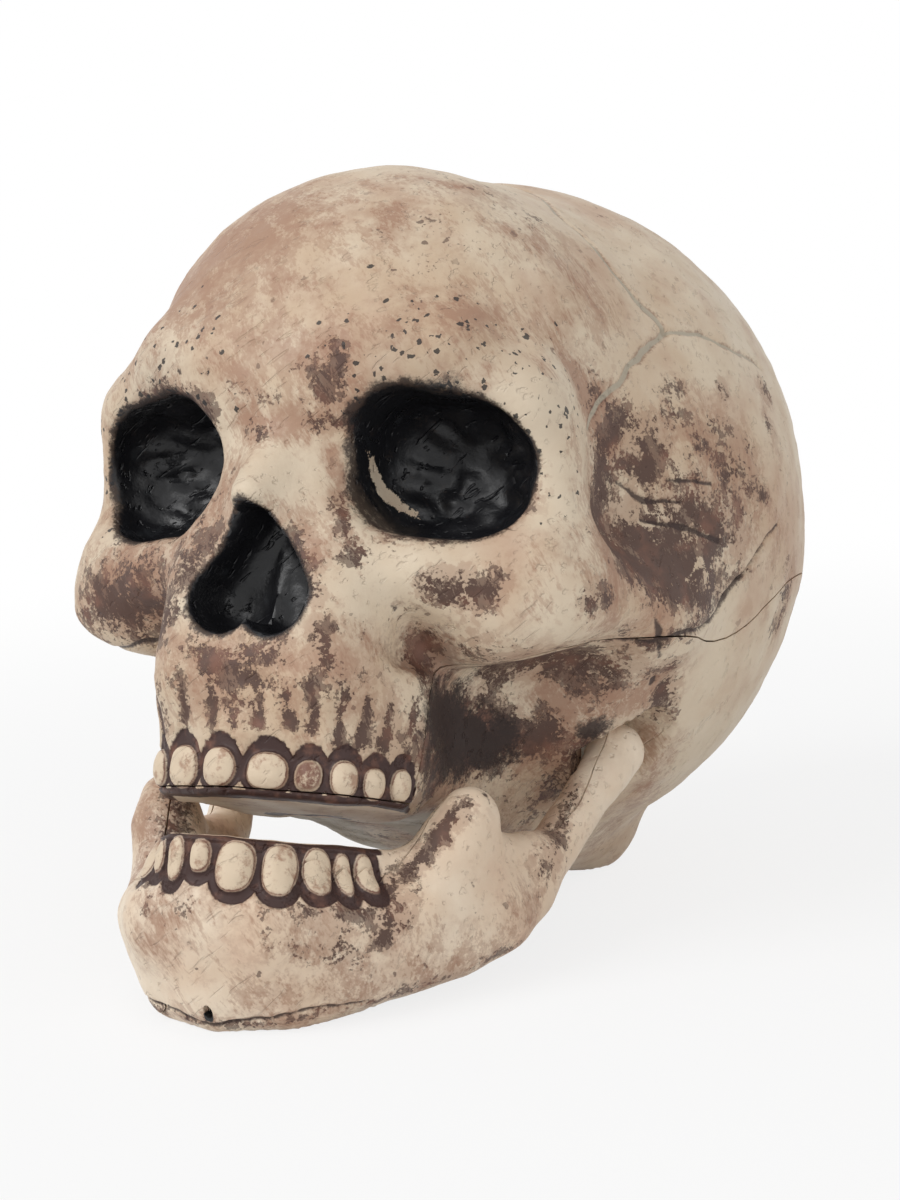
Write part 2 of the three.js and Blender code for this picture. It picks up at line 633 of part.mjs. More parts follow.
// A dished ring that grips the pin's tail
function pushNut(side) {
  const { nutRadius, nutThickness, nutDish, pinRadius } = PIVOT;
  const boreRadius = pinRadius + GAP;
  const profile = [[boreRadius, nutDish], [nutRadius, 0], [nutRadius, nutThickness],
    [boreRadius, nutThickness + nutDish / 2], [boreRadius, nutDish]];
  const ring = profile.map(([radius, height]) => new THREE.Vector2(radius, height - nutDish / 2));
  const geometry = new THREE.LatheGeometry(ring, SEGMENTS);
  geometry.rotateZ(side * -Math.PI / 2);
  geometry.translate(side * NUT_X, 0, PIVOT.heightShare * HALF);
  return solidFrom(geometry);
}

// Assembly

function named(name, solid, finish) {
  const mesh = new THREE.Mesh(geometryFrom(solid), new THREE.MeshStandardMaterial(finish));
  mesh.name = name;
  return mesh;
}

function buildSkull() {
  const skull = new THREE.Group();
  const cranium = craniumShells();
  const jaw = jawShells();
  skull.add(named("face_and_vault_shell", cranium.face, BONE));
  skull.add(named("skull_base_shell", cranium.base, BONE));
  skull.add(named("jaw_outer_shell", jaw.outer, BONE_JAW));
  skull.add(named("jaw_inner_shell", jaw.inner, BONE_JAW));
  for (const [label, side] of [["left", 1], ["right", -1]]) {
    skull.add(named(`pivot_pin_${label}`, pivotPin(side), STEEL));
    skull.add(named(`friction_washer_${label}`, frictionWasher(side), NYLON));
    skull.add(named(`wave_washer_${label}`, waveWasher(side), STEEL));
    skull.add(named(`push_nut_${label}`, pushNut(side), STEEL));
  }
  skull.rotation.x = -rad(BACK_PITCH_DEG);
  return skull;
}

// The skull rests on Z = 0 with its bounding box centred on the origin
function rested(skull) {
  const decoration = new THREE.Group();
  decoration.add(skull);
  decoration.updateMatrixWorld(true);
  const box = new THREE.Box3().setFromObject(decoration, true);
  const middle = box.getCenter(new THREE.Vector3());
  skull.position.set(-middle.x, -middle.y, -box.min.z);
  return decoration;
}

export default rested(buildSkull());
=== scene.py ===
"""Dresses a life-size decoration skull with a hinged lower jaw."""

import json
import logging
import math
from dataclasses import dataclass, replace
from enum import Enum
from functools import partial
from typing import Callable

import bmesh
import bpy
import numpy as np
from mathutils import Matrix, Vector


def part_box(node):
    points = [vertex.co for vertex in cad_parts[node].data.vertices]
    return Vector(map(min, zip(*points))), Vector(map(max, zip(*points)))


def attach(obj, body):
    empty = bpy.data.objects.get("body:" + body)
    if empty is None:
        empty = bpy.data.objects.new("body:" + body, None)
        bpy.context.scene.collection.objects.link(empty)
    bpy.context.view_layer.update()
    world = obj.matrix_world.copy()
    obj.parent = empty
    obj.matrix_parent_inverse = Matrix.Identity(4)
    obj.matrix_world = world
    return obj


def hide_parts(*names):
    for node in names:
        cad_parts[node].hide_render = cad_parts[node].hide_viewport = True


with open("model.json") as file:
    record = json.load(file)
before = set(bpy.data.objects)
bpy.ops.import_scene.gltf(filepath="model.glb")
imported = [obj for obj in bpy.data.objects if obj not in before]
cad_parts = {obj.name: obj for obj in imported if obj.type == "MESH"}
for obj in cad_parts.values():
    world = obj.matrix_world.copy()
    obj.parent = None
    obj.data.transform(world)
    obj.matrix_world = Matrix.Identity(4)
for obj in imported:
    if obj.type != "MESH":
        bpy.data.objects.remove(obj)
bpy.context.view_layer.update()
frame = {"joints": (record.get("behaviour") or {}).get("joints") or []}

logging.basicConfig(level=logging.INFO, format="%(message)s")
LOG = logging.getLogger("skull")

Array = np.ndarray
Piece, Mesh, Material = bpy.types.Object, bpy.types.Mesh, bpy.types.Material
Tree, Node, Socket = bpy.types.NodeTree, bpy.types.Node, bpy.types.NodeSocket
Place = tuple[float, float, float]
Colour = tuple[float, float, float, float]
Distance = Callable[[Array], Array]

HALF = 0.09  # half the cranium's length in metres; a share is a share of it
MILLIMETRE = 0.001 / HALF
WALL = 2.4 * MILLIMETRE
SEAM_GAP = 0.3 * MILLIMETRE
PAINTED_DEPTH = 0.85 * WALL  # paint lies on what is no deeper than this
FLAT_ZONE = 0.012  # no relief lower than this, so that the skull stands flat
PIVOT_ZONE = 0.5  # no relief round the pivots nearer to the middle than this
FAR = 4.0  # a length beyond everything
FINE_MARGIN = 0.009  # how far the finer faces reach past a groove
NARROW = 0.02  # a mark with a softer edge needs no finer faces
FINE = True


# Sculpting: distances are shares of HALF, negative inside


def smooth_min(a: Array, b: Array, blend: float) -> Array:
    """Returns the smaller of two distances, rounded over a band where they meet."""
    if not blend:
        return np.minimum(a, b)
    t = np.clip(0.5 + 0.5 * (b - a) / blend, 0, 1)
    return b * (1 - t) + a * t - blend * t * (1 - t)


def smooth_max(a: Array, b: Array, blend: float) -> Array:
    """Returns the larger of two distances, rounded over a band where they meet."""
    return -smooth_min(-a, -b, blend)


def fade(value: Array, low: float, high: float) -> Array:
    """Returns 0 at low and 1 at high, with a smooth step between them, which may also run down."""
    t = np.clip((value - low) / (high - low), 0, 1)
    return t * t * (3 - 2 * t)


def turned(points: Array, at: Place, turn_deg: Place) -> Array:
    """Returns the points as seen from a place with its own turn about X, Y and Z.

    Args:
        points: Points in the last axis.
        at: The place that becomes the origin.
        turn_deg: The turn of the axes there, in the order X, Y, Z.
    """
    local = points - np.asarray(at, points.dtype)
    for axis in (0, 1, 2):
        if not turn_deg[axis]:
            continue
        angle = math.radians(turn_deg[axis])
        first, second = (axis + 1) % 3, (axis + 2) % 3
        a, b = local[..., first].copy(), local[..., second].copy()
        local[..., first] = a * math.cos(angle) + b * math.sin(angle)
        local[..., second] = b * math.cos(angle) - a * math.sin(angle)
    return local


def capsule_distance(points: Array, start: tuple, end: tuple) -> Array:
    """Returns the distance to a tapered capsule. The ends hold a place and, last, a radius."""
    a, b = np.asarray(start[:-1], points.dtype), np.asarray(end[:-1], points.dtype)
    along = b - a
    t = np.clip(((points - a) @ along) / (along @ along), 0, 1)
    offset = points - a - t[..., None] * along
    return np.sqrt((offset**2).sum(-1)) - (start[-1] + (end[-1] - start[-1]) * t)


def chain_distance(points: Array, path: tuple[tuple, ...]) -> Array:
    """Returns the distance to the nearest of a chain of tapered capsules."""
    return np.minimum.reduce([capsule_distance(points, start, end) for start, end in zip(path[:-1], path[1:])])


@dataclass(frozen=True, kw_only=True)
class Form:
    """One round form, joined to or cut from the forms before it."""

    blend: float = 0.0
    cut: bool = False

    def distance(self, points: Array) -> Array:
        """Returns each point's distance to the form."""
        raise NotImplementedError


@dataclass(frozen=True, kw_only=True)
class Ellipsoid(Form):
    """An ellipsoid."""

    at: Place
    radii: Place
    turn_deg: Place = (0, 0, 0)

    def distance(self, points: Array) -> Array:
        """Returns the approximate distance, exact at the surface."""
        radii = np.asarray(self.radii, points.dtype)
        scaled = turned(points, self.at, self.turn_deg) / radii
        reach = np.sqrt((scaled**2).sum(-1)) + 1e-9
        slope = np.sqrt(((scaled / radii) ** 2).sum(-1)) + 1e-9
        return reach * (reach - 1) / slope


@dataclass(frozen=True, kw_only=True)
class Box(Form):
    """A box with round edges."""

    at: Place
    half: Place
    round: float
    turn_deg: Place = (0, 0, 0)

    def distance(self, points: Array) -> Array:
        """Returns the distance to the rounded box."""
        local = turned(points, self.at, self.turn_deg)
        outside = np.abs(local) - (np.asarray(self.half, points.dtype) - self.round)
        reach = np.sqrt((np.maximum(outside, 0) ** 2).sum(-1))
        return reach + np.minimum(outside.max(-1), 0) - self.round


@dataclass(frozen=True, kw_only=True)
class Tube(Form):
    """A chain of tapered capsules. Each point of the path is X, Y, Z and a radius."""

    path: tuple[tuple[float, float, float, float], ...]

    def distance(self, points: Array) -> Array:
        """Returns the distance to the nearest capsule."""
        return chain_distance(points, self.path)


@dataclass(frozen=True, kw_only=True)
class Rail(Form):
    """An upright wall between two heights. Each point of its path is X, Y and half the wall's thickness."""

    path: tuple[tuple[float, float, float], ...]
    bottom: float
    top: float
    round: float

    def section(self, points: Array) -> Array:
        """Returns the distance to the wall's upright sides."""
        return chain_distance(points[..., :2], self.path)

    def distance(self, points: Array) -> Array:
        """Returns the distance to the wall."""
        middle, half = (self.bottom + self.top) / 2, (self.top - self.bottom) / 2
        return smooth_max(self.section(points), np.abs(points[..., 2] - middle) - half, self.round)


@dataclass(frozen=True, kw_only=True)
class Plane(Form):
    """The space below a plane."""

    normal: Place
    offset: float

    def distance(self, points: Array) -> Array:
        """Returns the height above the plane."""
        return points @ np.asarray(self.normal, points.dtype) - self.offset


@dataclass(frozen=True, kw_only=True)
class Slot(Form):
    """A tapered slot that opens to the front. Its path holds X, Z and a half width."""

    path: tuple[tuple[float, float, float], ...]
    floor: float
    round: float

    def distance(self, points: Array) -> Array:
        """Returns the distance to the slot in front of its floor."""
        section = chain_distance(points[..., (0, 2)], self.path)
        return smooth_max(section, points[..., 1] - self.floor, self.round)


@dataclass(frozen=True, kw_only=True)
class Hollow(Form):
    """A form that a plane limits, for a hollow under a ledge."""

    form: Form
    limit: Plane
    limit_blend: float

    def distance(self, points: Array) -> Array:
        """Returns the distance to the form below its limit."""
        return smooth_max(self.form.distance(points), self.limit.distance(points), self.limit_blend)


@dataclass(frozen=True, kw_only=True)
class Disc(Form):
    """A disc square to X, between two X values, around the pivot axis."""

    inner: float
    outer: float
    radius: float
    height: float

    def distance(self, points: Array) -> Array:
        """Returns the distance to the disc."""
        reach = np.hypot(points[..., 1], points[..., 2] - self.height) - self.radius
        middle, half = (self.inner + self.outer) / 2, (self.outer - self.inner) / 2
        return np.maximum(reach, np.abs(points[..., 0] - middle) - half)


def folded(points: Array) -> Array:
    """Returns points mirrored to the left side."""
    mirrored = points.copy()
    mirrored[..., 0] = np.abs(mirrored[..., 0])
    return mirrored


def sculpt(forms: tuple[Form, ...], points: Array) -> Array:
    """Returns the blended distance to a list of forms, mirrored across X = 0."""
    mirrored = folded(points)
    total = None
    for form in forms:
        distance = form.distance(mirrored)
        if form.cut:
            total = smooth_max(total, -distance, form.blend)
        else:
            total = distance if total is None else smooth_min(total, distance, form.blend)
    return total


EYE_SOCKET = Box(at=(0.38, -0.8, 0.17), half=(0.2, 0.24, 0.162), round=0.14, turn_deg=(0, 6, 0), cut=True, blend=0.03)
UPPER_WALL = Rail(
    path=((0, -0.76, 0.19), (0.14, -0.74, 0.155), (0.19, -0.66, 0.145)), bottom=-0.622, top=-0.3, round=0.03, blend=0.05
)
LOWER_WALL = Rail(
    path=((0, -0.985, 0.062), (0.07, -0.965, 0.062), (0.14, -0.885, 0.06), (0.21, -0.76, 0.06), (0.28, -0.62, 0.055)),
    bottom=-0.87, top=-0.712, round=0.03, blend=0.05,
)
NOSE_OPENING = Slot(path=((0.0, 0.0, 0.05), (0.07, -0.16, 0.085)), floor=-0.78, round=0.08, cut=True, blend=0.025)
CRANIUM_FORMS = (
    Ellipsoid(at=(0, 0.2, 0.23), radii=(0.845, 0.88, 0.89)),  # braincase
    Ellipsoid(at=(0, -0.35, 0.45), radii=(0.62, 0.55, 0.56), blend=0.12),  # forehead
    Ellipsoid(at=(0.38, -0.47, 0.16), radii=(0.2, 0.24, 0.3), blend=0.16),  # temple
    Plane(normal=(0, 0.05, 1), offset=-0.67, cut=True, blend=0.08),  # flat underside
    Box(at=(0, 0.04, -0.436), half=(0.31, 0.72, 0.21), round=0.15, turn_deg=(-3, 0, 0), blend=0.12),
    Box(at=(0, -0.66, -0.3), half=(0.28, 0.27, 0.31), round=0.2, turn_deg=(8, 0, 0), blend=0.1),
    UPPER_WALL,
    Tube(
        path=((0.03, -0.78, 0.36, 0.09), (0.2, -0.8, 0.4, 0.09), (0.38, -0.76, 0.43, 0.08), (0.52, -0.67, 0.34, 0.07)),
        blend=0.14,
    ),  # brow
    Tube(path=((0.53, -0.65, 0.33, 0.06), (0.58, -0.6, 0.18, 0.06), (0.6, -0.57, 0.02, 0.085)), blend=0.14),
    Ellipsoid(at=(0.49, -0.55, -0.11), radii=(0.22, 0.18, 0.17), blend=0.1),  # cheek
    Tube(path=((0.22, -0.77, -0.06, 0.08), (0.38, -0.73, -0.07, 0.08), (0.54, -0.62, -0.04, 0.09)), blend=0.1),
    Tube(path=((0.58, -0.5, -0.11, 0.11), (0.64, -0.34, -0.09, 0.11), (0.68, -0.16, -0.06, 0.11)), blend=0.14),
    Ellipsoid(at=(0, -0.8, 0.1), radii=(0.13, 0.12, 0.24), turn_deg=(-24, 0, 0), blend=0.08),  # nasal bones
    Tube(path=((0, -0.76, 0.28, 0.06), (0, -0.87, 0.15, 0.05), (0, -0.955, 0.075, 0.042)), blend=0.06),
    Tube(
        path=((0.09, -0.77, 0.18, 0.05), (0.15, -0.8, 0, 0.07), (0.18, -0.83, -0.2, 0.08), (0.17, -0.85, -0.34, 0.08)),
        blend=0.08,
    ),  # sides of the nose
    Hollow(
        form=Ellipsoid(at=(0.62, -0.44, -0.48), radii=(0.29, 0.23, 0.46)),
        limit=Plane(normal=(-0.3, -0.174, 1), offset=-0.306),
        limit_blend=0.08,
        cut=True,
        blend=0.07,
    ),  # below the cheek arch
    EYE_SOCKET,
    NOSE_OPENING,
)

JAW_BODY_FORMS = (
    Tube(
        path=(
            (0, -0.92, -0.9, 0.13), (0.12, -0.9, -0.9, 0.13), (0.24, -0.8, -0.895, 0.1),
            (0.34, -0.64, -0.86, 0.09), (0.42, -0.46, -0.82, 0.077),
        )
    ),  # body
    Tube(
        path=(
            (0, -0.86, -1.05, 0.105), (0.14, -0.82, -1.04, 0.095), (0.27, -0.7, -0.99, 0.08),
            (0.38, -0.52, -0.92, 0.07), (0.43, -0.4, -0.85, 0.06),
        ),
        blend=0.1,
    ),  # lower edge
    LOWER_WALL,
)
JAW_RAMUS_FORMS = (
    Tube(path=((0.43, -0.38, -0.82, 0.07), (0.47, -0.2, -0.66, 0.06), (0.52, -0.06, -0.46, 0.055))),
    Tube(path=((0.34, -0.62, -0.82, 0.08), (0.4, -0.58, -0.68, 0.075), (0.42, -0.55, -0.61, 0.065)), blend=0.06),
    Box(at=(0.42, -0.43, -0.74), half=(0.055, 0.16, 0.1), round=0.05, turn_deg=(0, 0, -12), blend=0.1),
    Tube(path=((0.51, -0.06, -0.48, 0.055), (0.53, 0, -0.4, 0.065)), blend=0.04),  # condyle
)
RAMUS_BLEND = 0.06


def jaw_distance(points: Array) -> Array:
    """Returns the distance to the lower jaw at the photographed opening."""
    return smooth_min(sculpt(JAW_BODY_FORMS, points), sculpt(JAW_RAMUS_FORMS, points), RAMUS_BLEND)


def cranium_distance(points: Array) -> Array:
    """Returns the distance to the cranium."""
    return sculpt(CRANIUM_FORMS, points)


# Stance and meshing


@dataclass(frozen=True)
class Stance:
    """How the anatomical shares stand in the row frame: leaning back, on base and chin."""

    lean_deg: float = 18.0
    pivot_height: float = -0.4
    rest_height: float = -0.816

    def matrix(self) -> Matrix:
        """Returns the matrix from shares to metres, worked out from the jaw's hinge."""
        lean = Matrix.Rotation(-math.radians(self.lean_deg), 4, "X")
        pivot = Vector(frame["joints"][0]["pos_m"])
        origin = pivot - HALF * (lean @ Vector((0, 0, self.pivot_height)))
        return Matrix.Translation(origin) @ lean @ Matrix.Scale(HALF, 4)

    def to_world(self, points: Array) -> Array:
        """Returns points in metres for points in shares."""
        matrix = np.array(self.matrix())
        return points @ matrix[:3, :3].T + matrix[:3, 3]

    def to_shares(self, points: Array) -> Array:
        """Returns points in shares for points in metres."""
        matrix = np.array(self.matrix().inverted())
        return points @ matrix[:3, :3].T + matrix[:3, 3]

    def height(self, points: Array) -> Array:
        """Returns the height in shares above the plane that the skull rests on."""
        lean = math.radians(self.lean_deg)
        return math.cos(lean) * points[..., 2] - math.sin(lean) * points[..., 1] - self.rest_height


STANCE = Stance()


def slope(distance: Distance, points: Array, step: float = 0.004) -> Array:
    """Returns the gradient of a distance function, from four corners of a tetrahedron."""
    corners = np.array(((1, -1, -1), (-1, -1, 1), (-1, 1, -1), (1, 1, 1)), np.float32)
    total = sum(distance(points + corner * step)[:, None] * corner for corner in corners)
    return total / (4 * step)


def directions(distance: Distance, points: Array) -> Array:
    """Returns the outward unit normals of a distance function."""
    gradient = slope(distance, points)
    return gradient / (np.linalg.norm(gradient, axis=1, keepdims=True) + 1e-9)


def settled_on(distance: Distance, points: Array, reach: float, rounds: int = 2) -> Array:
    """Returns the points moved onto the surface.

    Args:
        distance: The distance function.
        points: Points near its surface.
        reach: The furthest that one round may move a point.
        rounds: How many times the points are moved.
    """
    for _ in range(rounds):
        value = distance(points)
        gradient = slope(distance, points)
        step = np.clip(-value / ((gradient**2).sum(1) + 1e-6), -reach, reach)
        points = points + gradient * step[:, None]
    return points


@dataclass(frozen=True, kw_only=True)
class SurfaceNet:
    """Meshes a distance function, with one point in each cell that the surface crosses."""

    low: Place
    high: Place
    cell: float
    block: int = 8
    batch: int = 300  # blocks that are sampled at a time
    slack: float = 0.03  # how wrong a distance may be away from the surface

    def sampled(self, distance: Distance) -> Array:
        """Returns the distances on the grid, exact only in the blocks near the surface."""
        low = np.array(self.low, np.float32)
        counts = np.ceil((np.array(self.high) - low) / self.cell / self.block).astype(int)
        side = self.block * self.cell
        middles = [low[axis] + (np.arange(counts[axis]) + 0.5) * side for axis in range(3)]
        rough = distance(np.stack(np.meshgrid(*middles, indexing="ij"), -1).astype(np.float32))
        values = np.where(rough > 0, 1.0, -1.0).astype(np.float32)
        for axis in range(3):
            values = np.repeat(values, self.block, axis)
        values = np.pad(values, ((0, 1),) * 3, mode="edge")
        offsets = np.stack(np.meshgrid(*(np.arange(self.block + 1),) * 3, indexing="ij"), -1)
        near = np.argwhere(np.abs(rough) < 1.3 * side + self.slack)
        for start in range(0, len(near), self.batch):
            nodes = near[start : start + self.batch, None, None, None, :] * self.block + offsets
            samples = distance((low + nodes * self.cell).astype(np.float32))
            values[nodes[..., 0], nodes[..., 1], nodes[..., 2]] = samples
        return values

    @staticmethod
    def settled(values: Array) -> Array:
        """Fills the weaker outer corner where a grid square's corners alternate, so that no edge is shared twice."""
        changed = True
        while changed:
            changed = False
            for axis in range(3):
                planes = np.moveaxis(values, axis, 0)
                ring = (planes[:, :-1, :-1], planes[:, 1:, :-1], planes[:, 1:, 1:], planes[:, :-1, 1:])
                inside = [corner < 0 for corner in ring]
                mixed = (inside[0] == inside[2]) & (inside[1] == inside[3]) & (inside[0] != inside[1])
                for i, j, k in np.argwhere(mixed):
                    square = ((i, j, k), (i, j + 1, k), (i, j + 1, k + 1), (i, j, k + 1))
                    outer = [corner for corner in square if planes[corner] >= 0]
                    planes[min(outer, key=lambda corner: planes[corner])] = -1e-4
                    changed = True
        return values

    def crossings(self, values: Array, axis: int) -> tuple[Array, Array, Array]:
        """Returns the grid edges along an axis that the surface crosses, the crossing points and which start inside."""
        first = np.moveaxis(np.moveaxis(values, axis, 0)[:-1], 0, axis)
        second = np.moveaxis(np.moveaxis(values, axis, 0)[1:], 0, axis)
        crossed = (first < 0) != (second < 0)
        nodes = np.argwhere(crossed)
        places = nodes.astype(np.float32)
        places[:, axis] += first[crossed] / (first[crossed] - second[crossed])
        return nodes, places, first[crossed] < 0

    @staticmethod
    def around(nodes: Array, axis: int) -> list[Array]:
        """Returns the four cells around each grid edge, in turning order."""
        first, second = (axis + 1) % 3, (axis + 2) % 3
        cells = []
        for step_first, step_second in ((1, 1), (0, 1), (0, 0), (1, 0)):
            cell = nodes.copy()
            cell[:, first] -= step_first
            cell[:, second] -= step_second
            cells.append(cell)
        return cells

    def mesh(self, distance: Distance) -> tuple[Array, Array]:
        """Returns the points and the quads of the surface.

        Args:
            distance: The distance function, negative inside.
        """
        values = self.settled(self.sampled(distance))
        shape = values.shape
        keys, sums, faces = [], [], []
        for axis in range(3):
            nodes, places, inside = self.crossings(values, axis)
            rings = [np.ravel_multi_index(cell.T, shape) for cell in self.around(nodes, axis)]
            keys += rings
            sums += [places] * 4
            quads = np.stack(rings, 1)
            faces.append(np.where(inside[:, None], quads, quads[:, ::-1]))
        unique, owner = np.unique(np.concatenate(keys), return_inverse=True)
        places = np.concatenate(sums)
        totals = np.stack([np.bincount(owner, places[:, axis]) for axis in range(3)], 1)
        points = totals / np.bincount(owner)[:, None] * self.cell + np.array(self.low)
        quads = np.searchsorted(unique, np.concatenate(faces))
        return settled_on(distance, points.astype(np.float32), self.cell / 2), quads


# Meshes


def new_object(name: str, data: bpy.types.ID) -> Piece:
    """Returns a linked object around a mesh, a light or a camera."""
    piece = bpy.data.objects.new(name, data)
    bpy.context.scene.collection.objects.link(piece)
    return piece


def mesh_object(name: str, points: Array | list, faces: Array | list) -> Piece:
    """Returns a linked object from points in shares.

    Args:
        name: The object's name.
        points: Points in shares.
        faces: Corner indices of each face.
    """
    mesh = bpy.data.meshes.new(name)
    corners = faces.tolist() if isinstance(faces, Array) else faces
    mesh.from_pydata(STANCE.to_world(np.asarray(points, float)), [], corners)
    return new_object(name, mesh)


def places_of(mesh: Mesh) -> Array:
    """Returns a mesh's points in shares."""
    flat = np.empty(len(mesh.vertices) * 3, np.float32)
    mesh.vertices.foreach_get("co", flat)
    return STANCE.to_shares(flat.reshape(-1, 3)).astype(np.float32)


def place(mesh: Mesh, points: Array) -> None:
    """Moves a mesh's points to places in shares."""
    mesh.vertices.foreach_set("co", STANCE.to_world(points).astype(np.float32).ravel())
    mesh.update()


def discard(piece: Piece) -> None:
    """Removes an object and its mesh."""
    mesh = piece.data
    bpy.data.objects.remove(piece)
    bpy.data.meshes.remove(mesh)


def settle_modifiers(piece: Piece) -> None:
    """Makes the evaluated mesh the object's own and removes its modifiers."""
    graph = bpy.context.evaluated_depsgraph_get()
    mesh = bpy.data.meshes.new_from_object(piece.evaluated_get(graph))
    piece.modifiers.clear()
    old = piece.data
    piece.data = mesh
    mesh.name = piece.name
    bpy.data.meshes.remove(old)


class Carving(Enum):
    """The ways to carve a solid with another: cut it away, or keep only what both share."""

    CUT = "DIFFERENCE"
    KEEP = "INTERSECT"


def carve(piece: Piece, tool: Piece, how: Carving) -> None:
    """Carves a closed solid with another, which is used up.

    Args:
        piece: The solid that changes.
        tool: The other solid.
        how: Whether it is cut away or kept.
    """
    modifier = piece.modifiers.new("carve", "BOOLEAN")
    modifier.solver = "MANIFOLD"
    modifier.operation = how.value
    modifier.object = tool
    settle_modifiers(piece)
    discard(tool)


def prism(outline: list[tuple[float, float]], placed: Callable[[float, float, float], Place]) -> Piece:
    """Returns a closed prism over an outline.

    Args:
        outline: The corners in turning order.
        placed: Gives the place of a corner at the start (-1) or the end (1) of the prism.
    """
    points = [placed(first, second, end) for end in (-1, 1) for first, second in outline]
    count = len(outline)
    faces = [list(range(count))[::-1], list(range(count, 2 * count))]
    faces += [[i, (i + 1) % count, count + (i + 1) % count, count + i] for i in range(count)]
    piece = mesh_object("tool", points, faces)
    turn_outwards(piece.data)
    return piece


def turn_outwards(mesh: Mesh) -> None:
    """Turns a closed mesh's faces outwards."""
    work = bmesh.new()
    work.from_mesh(mesh)
    bmesh.ops.recalc_face_normals(work, faces=work.faces)
    if work.calc_volume(signed=True) < 0:
        bmesh.ops.reverse_faces(work, faces=work.faces)
    work.to_mesh(mesh)
    work.free()


def bars(spans: list[tuple[float, float]], radius: float, sides: int = 48) -> Piece:
    """Returns round bars on the pivot axis.

    Args:
        spans: The X values in shares at which each bar starts and ends.
        radius: The bars' radius in shares.
        sides: The number of faces around a bar.
    """
    angles = np.arange(sides) / sides * 2 * math.pi
    ring = np.stack((radius * np.cos(angles), STANCE.pivot_height + radius * np.sin(angles)), 1)
    points, faces = [], []
    for start, end in spans:
        base = len(points)
        points += [(x, y, z) for x in (start, end) for y, z in ring]
        first = list(range(base, base + sides))
        second = [corner + sides for corner in first]
        faces += [first[::-1], second]
        faces += [[first[i], first[(i + 1) % sides], second[(i + 1) % sides], second[i]] for i in range(sides)]
    piece = mesh_object("bars", points, faces)
    turn_outwards(piece.data)
    return piece


def refine(mesh: Mesh, wanted: Callable[[Array], Array]) -> None:
    """Halves the edges whose two ends lie where finer faces are wanted.

    Args:
        mesh: The mesh that is refined.
        wanted: Tells for each point in shares whether faces there are split.
    """
    chosen = wanted(places_of(mesh))
    work = bmesh.new()
    work.from_mesh(mesh)
    edges = [edge for edge in work.edges if chosen[edge.verts[0].index] and chosen[edge.verts[1].index]]
    bmesh.ops.subdivide_edges(work, edges=edges, cuts=1, use_grid_fill=True)
    bmesh.ops.triangulate(work, faces=[face for face in work.faces if len(face.verts) > 4])
    work.to_mesh(mesh)
    work.free()


def smooth(piece: Piece, sharp_deg: float) -> None:
    """Shades a piece smooth, with sharp edges where faces meet at more than an angle."""
    piece.data.shade_smooth()
    piece.data.set_sharp_from_angle(angle=math.radians(sharp_deg))


# Marks: what the mould and the paint leave on the surface


class Layer(Enum):
    """The paint layers and relief masks that the materials read as attributes."""

    STAIN = "stain"  # dark brown wash that stays in a patch
    WASH = "wash"  # thin reddish brown wash
    LINE = "line"  # dark line in a groove
    SUTURE = "suture"  # pale line with brown edges
    SOOT = "soot"  # dark edge round the black paint, and painted shade in deep hollows, nearly black
    BLACK = "black"  # black paint of the sockets and the nose
    SPRAY = "spray"  # droplets around the sockets
    SCRAPE = "scrape"  # wash rubbed off again
    TOOTH = "tooth"  # the raised face of a tooth
    GUM = "gum"  # the dark furrow around the teeth
    HOLLOW = "hollow"  # how much the surface curves in


class Side(Enum):
    """The side of the skull that a mark lies on."""

    LEFT = 1
    RIGHT = -1
    BOTH = 0


@dataclass(frozen=True)
class Waves:
    """A smooth pattern without repeats: a sum of sine waves in fixed random directions."""

    seed: int
    scale: float
    count: int = 10

    def at(self, points: Array) -> Array:
        """Returns values between about -1 and 1.

        Args:
            points: Points in shares.
        """
        random = np.random.default_rng(self.seed)
        total = np.zeros(len(points), np.float32)
        for _ in range(self.count):
            heading = random.normal(size=3)
            heading *= self.scale * random.uniform(0.5, 1.6) / np.linalg.norm(heading)
            total += np.sin(points @ heading.astype(np.float32) + random.uniform(0, 2 * math.pi))
        return total / math.sqrt(2 * self.count)


def soft_edge(distance: Array, softness: float) -> Array:
    """Returns 1 inside, a half at a distance of nothing and 0 beyond the softness."""
    return np.clip(0.5 - 0.5 * distance / softness, 0, 1)


